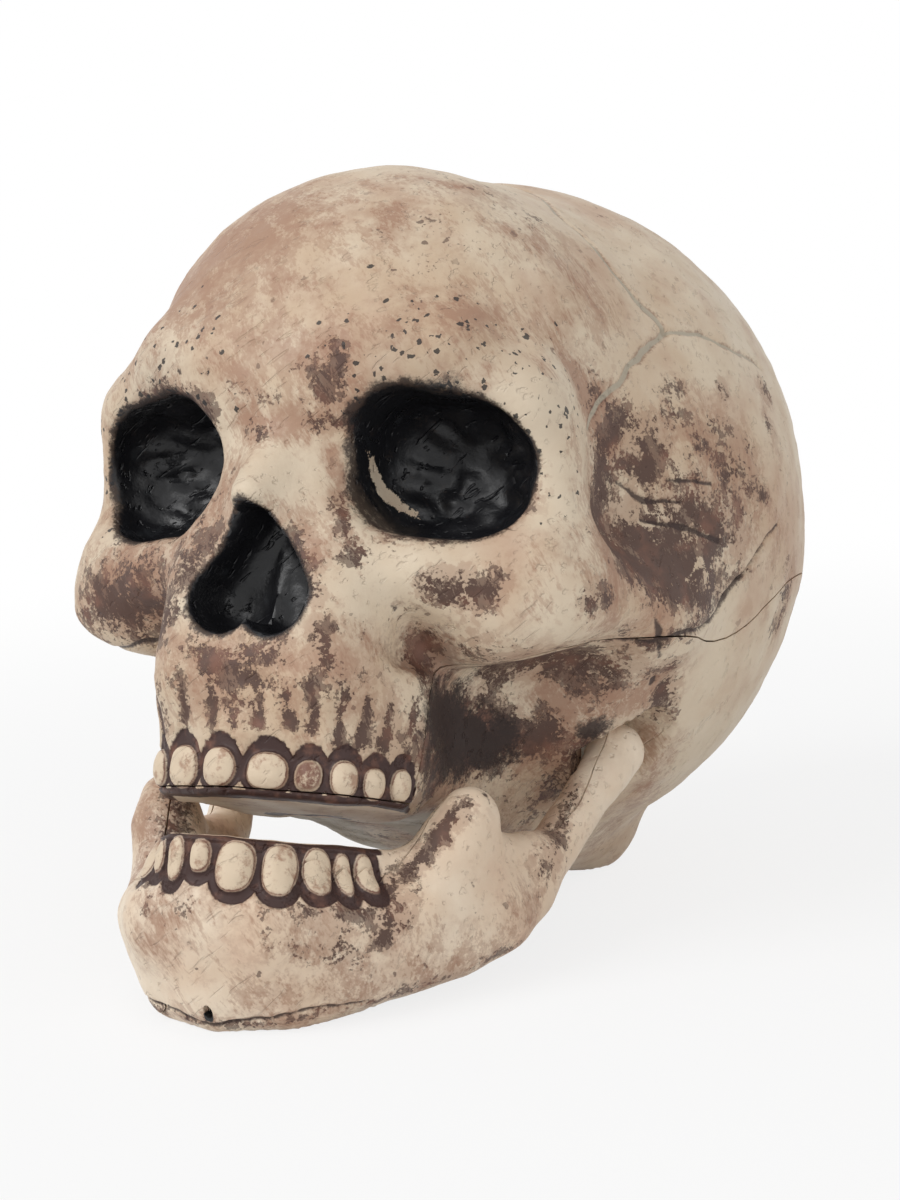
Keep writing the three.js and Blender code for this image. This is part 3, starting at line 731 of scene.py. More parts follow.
@dataclass(frozen=True)
class Mark:
    """A stroke of paint with an optional relief.

    Each point of the path is X, Y, Z and a radius in shares. The mask is a half at that radius,
    and falls to nothing over the softness beyond it. The relief is in millimetres, outwards.
    """

    layer: Layer
    path: tuple[tuple[float, float, float, float], ...]
    softness: float = 0.03
    relief: float = 0.0
    strength: float = 1.0
    side: Side = Side.LEFT

    def mask(self, points: Array) -> Array:
        """Returns how far each point is in the stroke, from 0 to 1."""
        seen = points.copy()
        if self.side is Side.BOTH:
            seen[:, 0] = np.abs(seen[:, 0])
        elif self.side is Side.RIGHT:
            seen[:, 0] = -seen[:, 0]
        knots = np.array(self.path, np.float32)
        margin = knots[:, 3].max() + self.softness
        low, high = knots[:, :3].min(0) - margin, knots[:, :3].max(0) + margin
        near = ((seen > low) & (seen < high)).all(1)
        mask = np.zeros(len(points), np.float32)
        if near.any():
            mask[near] = soft_edge(chain_distance(seen[near], self.path), self.softness) * self.strength
        return mask

    def laid(self, distance: Distance) -> "Mark":
        """Returns the stroke drawn along the surface, unless it fills a hollow."""
        if self.layer in (Layer.SOOT, Layer.BLACK, Layer.SPRAY):
            return self
        knots = np.array(self.path * 2 if len(self.path) == 1 else self.path, np.float32)
        knots[-1, 2] += 1e-3
        steps = np.linspace(0, len(knots) - 1, 4 * len(knots) - 3)
        dense = np.stack([np.interp(steps, range(len(knots)), column) for column in knots.T], 1)
        dense[:, :3] = settled_on(distance, dense[:, :3].astype(np.float32), 0.05, 3)
        softness = self.softness * (1.7 if self.layer in (Layer.STAIN, Layer.WASH) else 1.0)
        return replace(self, path=tuple(map(tuple, dense.tolist())), softness=softness)


@dataclass(frozen=True)
class Filling:
    """Paint that fills a hollow as far as its rim. The reach and the softness are shares."""

    layer: Layer
    form: Form
    reach: float
    softness: float
    relief: float = 0.0

    def mask(self, points: Array) -> Array:
        """Returns how far each point is in the hollow, from 0 to 1."""
        return soft_edge(self.form.distance(folded(points)) - self.reach, self.softness)

    def laid(self, distance: Distance) -> "Filling":
        """Returns the filling as it is, because a hollow needs no settling."""
        return self


@dataclass(frozen=True)
class Tooth:
    """One tooth of a row: its bearing from the row's middle, half its width, its middle height and half its height."""

    bearing_deg: float
    half_width_deg: float
    middle: float
    half_height: float
    bare: float = 1.0


@dataclass(frozen=True)
class ToothRow:
    """A row of teeth in relief on the gum, with a dark furrow round each and a dark rim."""

    teeth: tuple[Tooth, ...]
    wall: Rail
    centre_y: float
    rim: tuple[float, float]  # the heights between which the rim lies
    furrow_width: float
    furrow_power: float  # below 2 the furrow's outline is pointed
    furrow_shift: float  # how far the outline runs past the tooth, away from the rim
    tooth_relief: float = 1.2
    furrow_relief: float = -0.9
    fit: float = 0.345  # how much of its half width a tooth takes, so that furrows show between teeth
    squareness: float = 2.4  # above 2 a tooth is squarer than an oval
    ends_deg: tuple[float, float] = (82, 76)  # the bearings between which the row fades out

    def shaped(self, points: Array) -> tuple[Array, Array, Array]:
        """Returns the tooth mask, the furrow mask and the relief in millimetres.

        Args:
            points: Points in shares.
        """
        spread = points[:, :2] - np.array((0, self.centre_y), np.float32)
        radius = np.hypot(spread[:, 0], spread[:, 1])
        bearing = np.degrees(np.arctan2(spread[:, 0], -spread[:, 1]))
        height = points[:, 2]
        wobble = Waves(seed=5, scale=55).at(points) * 0.0025
        inner = np.full(len(points), 1.0, np.float32)
        outer = np.full(len(points), 1.0, np.float32)
        bare = np.ones(len(points), np.float32)
        away = -1.0 if self.rim[0] > self.teeth[0].middle else 1.0
        for tooth in self.teeth:
            along = np.radians(bearing - tooth.bearing_deg) * radius
            half = math.radians(tooth.half_width_deg) * self.fit
            rise = height - tooth.middle
            face = self.oval(along, rise, half, tooth.half_height, self.squareness) + wobble
            bare = np.where(face < inner, tooth.bare, bare)
            inner = np.minimum(inner, face)
            reach_up = tooth.half_height + self.furrow_width + self.furrow_shift * (rise * away > 0)
            outer = np.minimum(outer, self.oval(along, rise, half + self.furrow_width, reach_up, self.furrow_power))
        bottom, top = self.rim
        inside_rim = fade(np.abs(height - (bottom + top) / 2), (top - bottom) / 2 + 0.006, (top - bottom) / 2)
        depth = self.wall.section(folded(points))
        front = fade(np.abs(bearing), *self.ends_deg) * fade(depth, 0.09, 0.07) * fade(depth, -0.05, -0.03)
        furrow = np.maximum(fade(outer + wobble, 0.004, -0.006), inside_rim) * front
        face = fade(inner, 0.002, -0.01) * front
        relief = self.furrow_relief * furrow * (1 - 0.7 * inside_rim)
        relief = relief * (1 - face) + self.tooth_relief * face * fade(inner, 0.004, -0.034)
        return face * bare * fade(inner, 0.0, -0.012), np.clip(furrow - face, 0, 1), relief

    @staticmethod
    def oval(along: Array, rise: Array, half: float, tall: float | Array, power: float) -> Array:
        """Returns the rough distance to an oval of any squareness."""
        reach = (np.abs(along / half) ** power + np.abs(rise / tall) ** power) ** (1 / power)
        return (reach - 1) * np.minimum(half, tall)


@dataclass(frozen=True)
class Surface:
    """A painted surface: its distance, marks, row of teeth and texture."""

    distance: Distance
    marks: tuple[Mark | Filling, ...]
    row: ToothRow
    texture: Distance
    wide_shift: float = 0.009  # how far strokes sway
    fine_shift: float = 0.003  # how far their edges waver
    hollow_reaches: tuple[float, ...] = (0.03, 0.09)  # how far out hollows are felt for

    def warped(self, points: Array) -> Array:
        """Returns points brought back to the plain surface and shifted a little along it, for uneven strokes."""
        wide = [Waves(seed=seed, scale=22).at(points) for seed in (11, 12, 13)]
        fine = [Waves(seed=seed, scale=90).at(points) for seed in (14, 15, 16)]
        shift = self.wide_shift * np.stack(wide, 1) + self.fine_shift * np.stack(fine, 1)
        normals = directions(self.distance, points)
        depth = (shift * normals).sum(1, keepdims=True) + self.distance(points)[:, None]
        return points + shift - normals * depth

    def masks(self, points: Array) -> dict[Layer, Array]:
        """Returns the mask of each paint layer."""
        seen = self.warped(points)
        masks = {layer: np.zeros(len(points), np.float32) for layer in Layer}
        for mark in self.marks:
            masks[mark.layer] = np.maximum(masks[mark.layer], mark.mask(seen))
        masks[Layer.TOOTH], masks[Layer.GUM], _ = self.row.shaped(points)
        normals = directions(self.distance, points)
        for reach in self.hollow_reaches:
            open_air = self.distance(points + normals * reach) - self.distance(points)
            masks[Layer.HOLLOW] += np.clip(1 - open_air / reach, 0, 1) / len(self.hollow_reaches)
        return masks

    def relief(self, points: Array) -> Array:
        """Returns how far the surface stands out, in shares."""
        seen = self.warped(points)
        total = self.row.shaped(points)[2] + self.texture(points)
        for mark in self.marks:
            if mark.relief:
                total += mark.relief * fade(mark.mask(seen), 0.1, 0.8)
        return total * MILLIMETRE

    def fine_zone(self, points: Array) -> Array:
        """Tells which points need finer faces, for narrow grooves and the teeth."""
        tooth, gum, _ = self.row.shaped(points)
        wanted = (tooth + gum) > 0.01
        seen = self.warped(points)
        for mark in self.marks:
            if mark.relief and mark.softness < NARROW:
                wanted |= replace(mark, softness=mark.softness + FINE_MARGIN).mask(seen) > 0.02
        return wanted


# What the photographed surface shows, in hundredths of a share on the sculpture


STAIN, WASH, LINE, SUTURE, SOOT = Layer.STAIN, Layer.WASH, Layer.LINE, Layer.SUTURE, Layer.SOOT
BLACK, SPRAY, SCRAPE = Layer.BLACK, Layer.SPRAY, Layer.SCRAPE


def stroke(side: Side, layer: Layer, softness: float, strength: float, *path: tuple, relief: float = 0.0) -> Mark:
    """Returns a mark. On the skull's right its X values are written as if it were on the left.

    Args:
        side: The side that it lies on.
        layer: Its paint layer.
        softness: The width of its edge in hundredths of a share.
        strength: How strong it is, in per cent.
        *path: Its points: X, Y, Z and a radius, in hundredths of a share.
        relief: How far it stands out, in millimetres.
    """
    points = tuple(tuple(value / 100 for value in point) for point in path)
    return Mark(layer, points, softness / 100, relief, strength / 100, side)


both, left, right = (partial(stroke, side) for side in (Side.BOTH, Side.LEFT, Side.RIGHT))

EYE_MARKS = (
    Filling(BLACK, EYE_SOCKET, 0.003, 0.009),
    Filling(SOOT, EYE_SOCKET, 0.012, 0.016),
    left(
        SCRAPE, 1.1, 100, (18.5, -76, 22, 0.4), (17.9, -69.8, 15.8, 1.7), (19.9, -64.7, 10.8, 1.7),
        (25, -60, 7, 0.4),
    ),
    left(BLACK, 7, 85, (30, -84, 34, 2), (42, -80, 35, 3), (52, -70, 30, 2)),
    right(STAIN, 3, 100, (20, -87, 30, 3), (34, -84, 35, 3), (50, -72, 31, 3)),
    both(STAIN, 3, 80, (24, -82, 3, 1.5), (38, -78, 0, 2), (52, -68, 4, 1.5)),
    left(STAIN, 3, 80, (56, -66, 8, 2), (58, -64, 20, 2), (56, -66, 30, 2)),
    left(SPRAY, 16, 100, (30, -85, 40, 10), (46, -76, 40, 12), (57, -66, 30, 9)),
    left(SPRAY, 10, 80, (57, -66, 30, 6), (59, -63, 10, 3)),
    right(SPRAY, 14, 100, (20, -88, 38, 6), (35, -84, 40, 10), (52, -70, 34, 10)),
    right(SPRAY, 12, 100, (56, -66, 30, 5), (58, -64, 10, 6)),
)

NOSE_MARKS = (
    Filling(BLACK, NOSE_OPENING, 0.006, 0.011),
    Filling(SOOT, NOSE_OPENING, 0.014, 0.014),
    left(WASH, 3, 100, (13, -85, 18, 2.2), (18, -85, 8, 2), relief=-0.7),
    left(STAIN, 3, 100, (18, -85, 8, 0.8), (20, -86, 0, 1), (24, -88, -7, 1.2)),
    left(STAIN, 3, 100, (10, -92, -2, 1.2), (15, -91, -9, 2), (19, -89, -16, 1.2)),
    left(WASH, 5, 100, (10, -93, 2, 3), (16, -90, -5, 4)),
    right(WASH, 7, 100, (8, -88, 12, 3), (17, -84, -2, 5), (24, -80, -10, 6)),
    right(STAIN, 6, 80, (14, -85, -2, 3), (20, -84, -14, 4)),
)

CRANIUM_MARKS = EYE_MARKS + NOSE_MARKS + (
    # temple
    left(STAIN, 5, 90, (63, -46, 39, 3), (68, -33, 34, 3)),
    left(STAIN, 5, 85, (65, -41, 23, 5), (70, -28, 30, 4)),
    left(STAIN, 5, 85, (66, -36, 9, 6), (76, -18, 20, 5)),
    left(STAIN, 5, 95, (72, -30, 5, 10), (79, -12, 2, 7)),
    left(STAIN, 7, 60, (72, -25, 40, 5), (81, -5, 30, 10), (82, 0, 15, 6)),
    left(STAIN, 2, 100, (72, -20, 47, 1)),
    left(STAIN, 2, 80, (77, -6, 50, 1.6)),
    left(STAIN, 3, 80, (79, 18, 55, 2)),
    left(STAIN, 3, 80, (82, 14, 45, 2)),
    left(STAIN, 4, 75, (82, 1, 21, 3)),
    left(STAIN, 4, 75, (83, 33, 10, 3), (82, 35, -2, 3)),
    left(WASH, 4, 100, (58, -56, 42, 5), (62, -46, 36, 6), (64, -42, 28, 5)),
    left(
        STAIN, 4, 100, (66, -37, 35, 3.5), (66, -44, 24, 3.5), (67, -46, 10, 5), (70, -39, 1, 7), (76, -26, -2, 6),
        (80, -15, -4, 4.5), relief=-0.5,
    ),
    left(STAIN, 3, 100, (69, -30, 30, 3), (70, -32, 24, 3.5)),
    left(STAIN, 4, 100, (76, -20, 17, 4), (81, -9, 15, 4.5), (80, -12, 7, 4.5)),
    left(WASH, 6, 100, (64, -52, 20, 3), (66, -52, 2, 5), (71, -50, -12, 5)),
    left(WASH, 10, 80, (76, -20, 35, 6), (83, 0, 20, 7)),
    left(STAIN, 2, 100, (82, 2, 27, 1.2), (84, 10, 26, 1.4)),
    left(
        SCRAPE, 1.6, 100, (67, -34, 22, 0.2), (70, -30, 15, 0.6), (72.5, -25, 14, 0.2), (70, -28, 20, 0.5),
        (72, -27, 12, 0.2), (69, -32, 12, 0.5),
    ),
    left(SCRAPE, 1.4, 100, (76, -22, 0, 0.2), (79, -15, 7, 0.6), (79, -14, 0, 0.3), (80, -10, 6, 0.2)),
    left(STAIN, 3, 80, (72, -61, -12, 3), (74, -55, -10, 3.5)),
    right(STAIN, 6, 100, (66, -40, 30, 5), (70, -38, 12, 7), (77, -22, 2, 6), relief=-0.5),
    right(WASH, 9, 100, (62, -50, 40, 6), (76, -20, 30, 8)),
    # forehead and vault
    right(WASH, 6, 100, (7, -91, 46, 5), (-10, -92, 40, 5)),
    left(STAIN, 3.5, 85, (10, -92, 39, 2.2), (14, -91, 33, 3), (14, -87, 26, 2)),
    right(STAIN, 4, 75, (1, -92, 34, 2), (6, -90, 30, 2)),
    right(WASH, 5, 100, (5, -90, 27, 4), (-10, -88, 25, 5)),
    left(WASH, 5, 85, (17, -77, 78, 3), (20, -80, 72, 3)),
    left(WASH, 6, 90, (38, -78, 58, 3), (41, -83, 50, 5), (48, -72, 52, 4)),
    left(WASH, 6, 90, (40, -60, 76, 2), (52, -50, 72, 3), (58, -40, 60, 3)),
    left(WASH, 7, 100, (16, -92, 42, 5), (20, -86, 30, 3)),
    left(STAIN, 3, 100, (16, -93, 44, 1.4), (18, -90, 36, 1.2)),
    left(STAIN, 3, 100, (12, -87, 25, 2), (20, -84, 26, 2.4)),
    left(WASH, 9, 75, (31, -88, 47, 5), (40, -73, 64, 3)),
    left(WASH, 8, 75, (55, -60, 52, 4), (60, -45, 60, 3)),
    left(WASH, 10, 70, (12, -69, 88, 5), (35, -50, 90, 3)),
    right(WASH, 9, 80, (27, -77, 71, 6), (15, -85, 60, 4)),
    right(WASH, 5, 100, (6, -92, 36, 4), (14, -91, 40, 3)),
    right(STAIN, 3, 100, (2, -90, 23, 2), (5, -90, 26, 1.4)),
    both(WASH, 14, 75, (50, 60, 70, 12), (30, 90, 40, 8)),
    both(STAIN, 7, 80, (62, 55, 10, 5), (50, 80, -5, 5), (30, 93, -12, 4)),
    both(WASH, 12, 70, (10, 40, 108, 8), (30, 50, 97, 5)),
    right(WASH, 16, 100, (16, -80, 70, 22), (42, -70, 60, 18), (50, -66, 50, 10)),
    right(STAIN, 7, 60, (36, -80, -5, 5), (52, -70, -6, 5)),
    # cheeks
    right(WASH, 6, 100, (51, -75, -12, 9), (35, -82, -8, 8)),
    right(STAIN, 7, 100, (53, -70, -14, 8), (40, -78, -16, 9)),
    right(STAIN, 6, 85, (23, -91, -22, 6), (18, -91, -7, 6), (12, -90, 0, 3)),
    left(WASH, 8, 70, (62, -60, -5, 5), (72, -56, -10, 5)),
    left(STAIN, 7, 65, (45, -68, -24, 3), (56, -58, -24, 3), (68, -40, -21, 3)),
    left(STAIN, 3, 100, (40, -80, -11, 2), (45, -77, -12, 4), (53, -75, -12, 3), relief=-0.4),
    left(STAIN, 3, 100, (30, -65, -29, 3.5), (32, -66, -22, 3)),
    left(LINE, 0.6, 100, (31, -78.3, -15, 0.8), (31, -78, -16.5, 0.6)),
    right(WASH, 6, 100, (43, -75, -16, 8), (34, -80, -16, 6)),
    right(STAIN, 6, 100, (42, -75, -17, 3), (30, -80, -14, 4.5), (24, -86, -20, 5)),
    right(LINE, 1, 100, (30, -70, -26, 0.6), (45, -68, -25, 0.6), (60, -60, -20, 0.6), relief=-0.5),
    right(LINE, 0.6, 100, (27.4, -89.5, 39, 0.9)),
    right(STAIN, 7, 65, (13, -87, 10, 1.5), (20, -85, -5, 4), (26, -84, -15, 5)),
    # upper jaw
    left(STAIN, 6, 46, (-1, -94, -31, 4), (17, -93, -36, 6), (26, -87, -36, 4)),
    left(STAIN, 6, 40, (0, -95, -40, 5), (17, -93, -42, 5), (30, -74, -42, 5)),
    right(STAIN, 7, 45, (0, -95, -38, 6), (20, -90, -40, 7)),
    left(STAIN, 4, 100, (3, -94, -30, 3), (10, -93, -29, 2)),
    left(STAIN, 3.5, 100, (23, -92, -31, 3), (21, -92, -25, 2)),
    right(STAIN, 4, 100, (2, -95, -33, 3), (12, -93, -30, 2)),
    left(WASH, 9, 55, (0, -95, -30, 7), (25, -86, -33, 8)),
    right(WASH, 9, 80, (0, -95, -32, 6), (22, -88, -33, 6)),
    *(
        upright(STAIN, 1.3, 100, (x, y, top, 1.2), (x, y, bottom, 1.6), relief=-0.6)
        for upright, x, y, top, bottom in (
            (left, 6.3, -94.3, -35, -44), (left, 0, -95.5, -38.5, -45), (left, 13.7, -93, -38, -44),
            (left, 19, -91, -35, -46), (left, 24, -86.5, -37, -49), (left, 27.7, -82, -38, -48),
            (left, 30.3, -75.8, -38, -48), (left, 32.2, -69.5, -39, -44), (right, 6, -95, -37, -45),
            (right, 14.3, -93.2, -36, -45), (right, 23.7, -86.5, -36, -48),
        )
    ),
    left(STAIN, 1.2, 100, (-5, -94, -36, 1), (6, -94, -35, 1.4), (10, -94, -36, 0.8), relief=-0.5),
    left(STAIN, 1.2, 100, (-8, -94, -41, 1), (3, -95, -41, 1.2), relief=-0.5),
    # hollow below the cheek arch: the near-black and dark brown paint in it is painted shade
    left(SOOT, 7, 100, (31, -60, -37, 7), (33, -48, -42, 11), (36, -32, -44, 8)),
    left(STAIN, 5, 100, (32, -55, -37, 8), (33, -36, -42, 10), (43, -23, -40, 6)),
    left(STAIN, 5, 80, (50, -15, -40, 5), (37, -8, -53, 4)),
    both(SOOT, 10, 100, (40, -50, -42, 14), (50, -38, -44, 12), (56, -30, -40, 6)),
    left(STAIN, 8, 100, (31, -66, -44, 5), (31, -56, -50, 8)),
    both(STAIN, 7, 100, (45, -42, -27, 8), (60, -28, -27, 5)),
    left(STAIN, 5, 85, (60, -20, -20, 3), (70, -12, -19, 2)),
    # a broad grey patch with a brown haze over the underside: painted shade
    both(SUTURE, 10, 60, (15, -35, -66, 20), (20, 20, -68, 15)),
    both(STAIN, 10, 40, (15, -35, -66, 20), (20, 20, -68, 15)),
    # ear region
    left(STAIN, 3.5, 100, (67, -6, -25, 3.5), (66, 0, -36, 3), relief=-1),
    left(LINE, 1.2, 100, (65.8, -12.3, -23, 1.2), (66, -11, -24.5, 1.2), relief=-0.6),
    # nearly black in the recess by the jaw joint: painted shade
    left(SOOT, 3.5, 100, (50, -20, -50, 3.5), (53, -16, -38, 4), (54, -13, -31, 3)),
    left(WASH, 6, 100, (50, -25, -55, 5), (50, -24, -30, 8), (60, -10, -24, 4)),
    left(WASH, 8, 80, (60, 10, -40, 5), (50, 25, -50, 6), (33, 37, -60, 5)),
    right(STAIN, 7, 100, (66, -5, -28, 5), (60, 5, -42, 5), relief=-0.8),
    # sutures
    both(
        SUTURE, 1.6, 100, (0, -9, 111, 0.6), (10, -9, 108, 0.6), (22, -11.1, 103.2, 0.6), (31, -20, 98, 0.6),
        (39.5, -27.6, 90.6, 0.7), (48, -27, 83.9, 0.8), (55.1, -28, 75.6, 0.8), (60.6, -25.3, 68.5, 0.8),
        (64.4, -21, 64.4, 1), (66.7, -19.6, 60.9, 0.9), relief=-0.55,
    ),
    left(
        SUTURE, 1.6, 100, (66.7, -19.6, 60.9, 0.8), (65.3, -30.4, 54.5, 1), (64.7, -35.8, 49.5, 1),
        (64.5, -38.6, 44, 1), (63, -45.6, 37.6, 0.9), (62.6, -49.2, 30.8, 0.6), relief=-0.6,
    ),
    left(
        SUTURE, 1.4, 100, (66.7, -19.6, 60.9, 0.6), (70.6, -7.1, 63.6, 0.8), (74.2, 4, 62.6, 0.6),
        (76.2, 19.6, 61.6, 0.3), relief=-0.5,
    ),
    right(SUTURE, 1.6, 100, (66.7, -19.6, 60.9, 0.8), (65, -34, 50, 0.8), (63, -45, 37, 0.6), relief=-0.6),
    right(SUTURE, 1.4, 100, (66.7, -19.6, 60.9, 0.6), (74, 3, 62, 0.6), (77, 25, 58, 0.3), relief=-0.5),
    both(SUTURE, 1.4, 100, (0, 85, 82, 0.6), (20, 93, 60, 0.6), (36, 90, 42, 0.6), (50, 85, 20, 0.4), relief=-0.5),
    # cracks that branch from the parting line
    left(
        LINE, 1.2, 100, (79.7, -13.1, -10.5, 0.5), (79.3, -4.7, -4.8, 0.5), (82.9, 8.2, 10, 0.4),
        (84.3, 14.8, 17.8, 0.2), relief=-0.6,
    ),
    left(LINE, 1, 100, (32.1, -58.6, -28.6, 0.4), (35, -60, -31, 0.4), relief=-0.5),
    left(LINE, 1.2, 100, (75.3, -31.6, -11.5, 0.3), (75, -28, -15, 0.8), (70.7, -19.7, -19.4, 0.3), relief=-0.5),
    left(
        LINE, 1.2, 100, (60, -36, -19, 0.3), (66, -31.3, -16.6, 0.6), (78.1, -17.9, -12.3, 0.7),
        (79.2, -3, -4.6, 0.9), (82.4, 6.5, 8.2, 0.5), (84.6, 17.9, 20.4, 0.3), relief=-0.7,
    ),
    left(STAIN, 2.5, 80, (55, -40, -20, 1), (78, -18, -12, 2), (82, 7, 8, 1)),
    left(LINE, 0.9, 100, (72.3, -25.8, 22.9, 0.3), (78.7, -12.2, 24.8, 0.6), relief=-0.5),
    left(LINE, 0.9, 100, (65.3, -38.9, 19.7, 0.4), (68.8, -30.9, 17, 0.6), (74.6, -21.1, 18.1, 0.3), relief=-0.5),
    left(LINE, 0.9, 100, (68.8, -30.9, 12.7, 0.4), (79.8, -7.5, 12, 0.7), relief=-0.5),
    # edge of the temple
    left(
        WASH, 3, 80, (57, -71, 44, 1), (62, -66, 37, 1.2), (64, -62, 30, 1.2), (66, -59, 19, 1.2), (68, -60, 7, 1.2),
        (69, -65, -3, 1), relief=-0.5,
    ),
)

UPPER_ROW = ToothRow(
    teeth=(
        Tooth(-67, 6.5, -0.556, 0.044), Tooth(-53.5, 6.6, -0.556, 0.045), Tooth(-39.5, 7.2, -0.556, 0.05),
        Tooth(-23, 8.6, -0.554, 0.054), Tooth(-4, 8.6, -0.556, 0.05), Tooth(13.8, 8.4, -0.559, 0.046),
        Tooth(28.3, 6.0, -0.564, 0.04, 0.45), Tooth(40.2, 6.2, -0.563, 0.045), Tooth(52.2, 5.8, -0.566, 0.042, 0.9),
        Tooth(64, 5.8, -0.564, 0.043),
    ),
    wall=UPPER_WALL, centre_y=-0.55, rim=(-0.66, -0.608), furrow_width=0.019, furrow_power=1.7, furrow_shift=0.016,
)
LOWER_ROW = ToothRow(
    teeth=(
        Tooth(-68, 5.0, -0.764, 0.042), Tooth(-55.5, 4.8, -0.764, 0.042), Tooth(-43, 5.8, -0.768, 0.046),
        Tooth(-30, 6.2, -0.772, 0.05), Tooth(-19.2, 4.4, -0.768, 0.048), Tooth(-9.6, 4.8, -0.772, 0.058),
        Tooth(1.2, 5.0, -0.764, 0.044), Tooth(14.3, 7.8, -0.78, 0.063), Tooth(29.8, 7.4, -0.78, 0.063),
        Tooth(45.2, 6.9, -0.776, 0.06), Tooth(57.4, 4.3, -0.774, 0.056), Tooth(68.6, 5.0, -0.77, 0.052),
    ),
    wall=LOWER_WALL, centre_y=-0.66, rim=(-0.722, -0.7), furrow_width=0.019, furrow_power=2.2, furrow_shift=0.006,
)

JAW_MARKS = (
    both(
        LINE, 0.9, 100, (30, -76, -106, 0.3), (20.2, -87, -109, 0.4), (8.4, -91.8, -111.7, 0.5),
        (0, -92.5, -112.8, 0.5), relief=-0.6,
    ),
    both(STAIN, 2, 70, (50, -40, -88, 1), (40, -60, -99, 1), (24, -82, -108, 1), (0, -93, -112, 1.2)),
    left(STAIN, 5, 75, (22, -98, -87, 4), (34, -84, -85, 5), (38, -77, -83, 4)),
    left(STAIN, 3, 90, (36, -73, -77, 2.4), (34, -79, -79, 2.4)),
    left(STAIN, 5, 62, (30, -86, -94, 4), (20, -95, -93, 3)),
    left(STAIN, 4, 80, (51, -16, -51, 2), (50, -24, -62, 2), (52, -36, -74, 2)),
    left(WASH, 8, 80, (45, -55, -94, 5), (35, -75, -100, 5), (10, -95, -105, 5)),
    right(STAIN, 5, 65, (13, -103, -80, 3), (4, -104, -86, 4)),
    right(WASH, 7, 85, (12, -101, -98, 5), (5, -103, -90, 6)),
    # dark brown on the front of the far ramus: painted shade
    right(STAIN, 4, 100, (36, -62, -62, 2), (33, -66, -75, 3)),
    left(STAIN, 4.5, 85, (24, -95, -86, 3), (30, -90, -86, 3.5)),
    left(STAIN, 3.5, 100, (38, -78, -86, 3.5), (39, -75, -84, 2.5)),
    left(STAIN, 2.5, 100, (36, -79, -91, 1.4), (34, -82, -93, 1.2)),
    left(STAIN, 2.5, 80, (30, -86, -94, 1.4), (32, -85, -95, 1)),
    right(STAIN, 2, 100, (12, -103, -87, 1.2), (12, -102, -89, 1.2)),
    right(STAIN, 2, 90, (8, -104, -86, 1.4)),
    left(WASH, 10, 75, (9, -103, -87, 3), (25, -95, -93, 5)),
    left(STAIN, 2, 100, (43, -61, -59, 1.2), (40, -67, -67, 1.8), (36, -72, -76, 2)),
    left(WASH, 5, 85, (46, -51, -94, 3), (53, -41, -82, 4)),
    left(LINE, 1.2, 100, (45.5, -56.1, -55.2, 0.8), relief=-0.3),
    right(WASH, 8, 100, (42, -60, -62, 4), (36, -78, -85, 5)),
    # nearly black on the front of each ramus: painted shade
    both(SOOT, 5, 80, (33, -62, -70, 3), (36, -56, -60, 2.5)),
    both(WASH, 4, 90, (0, -93, -112, 1), (21, -84, -110, 1.2), (40, -60, -100, 1.2), (51, -43, -86, 1.2)),
    both(WASH, 7, 80, (40, -30, -85, 5), (47, -15, -65, 4)),
    left(WASH, 1.4, 100, (1.2, -94.6, -111.2, 2.2)),
    left(BLACK, 0.5, 100, (1.2, -94.6, -111.2, 1.4), (1.2, -93, -110, 1.4)),
)


# Finishes


def tint(code: str) -> Colour:
    """Returns a linear colour for a code such as "#d8c4a6"."""
    levels = [int(code[start : start + 2], 16) / 255 for start in (1, 3, 5)]
    linear = [level / 12.92 if level <= 0.04045 else ((level + 0.055) / 1.055) ** 2.4 for level in levels]
    return (*linear, 1.0)


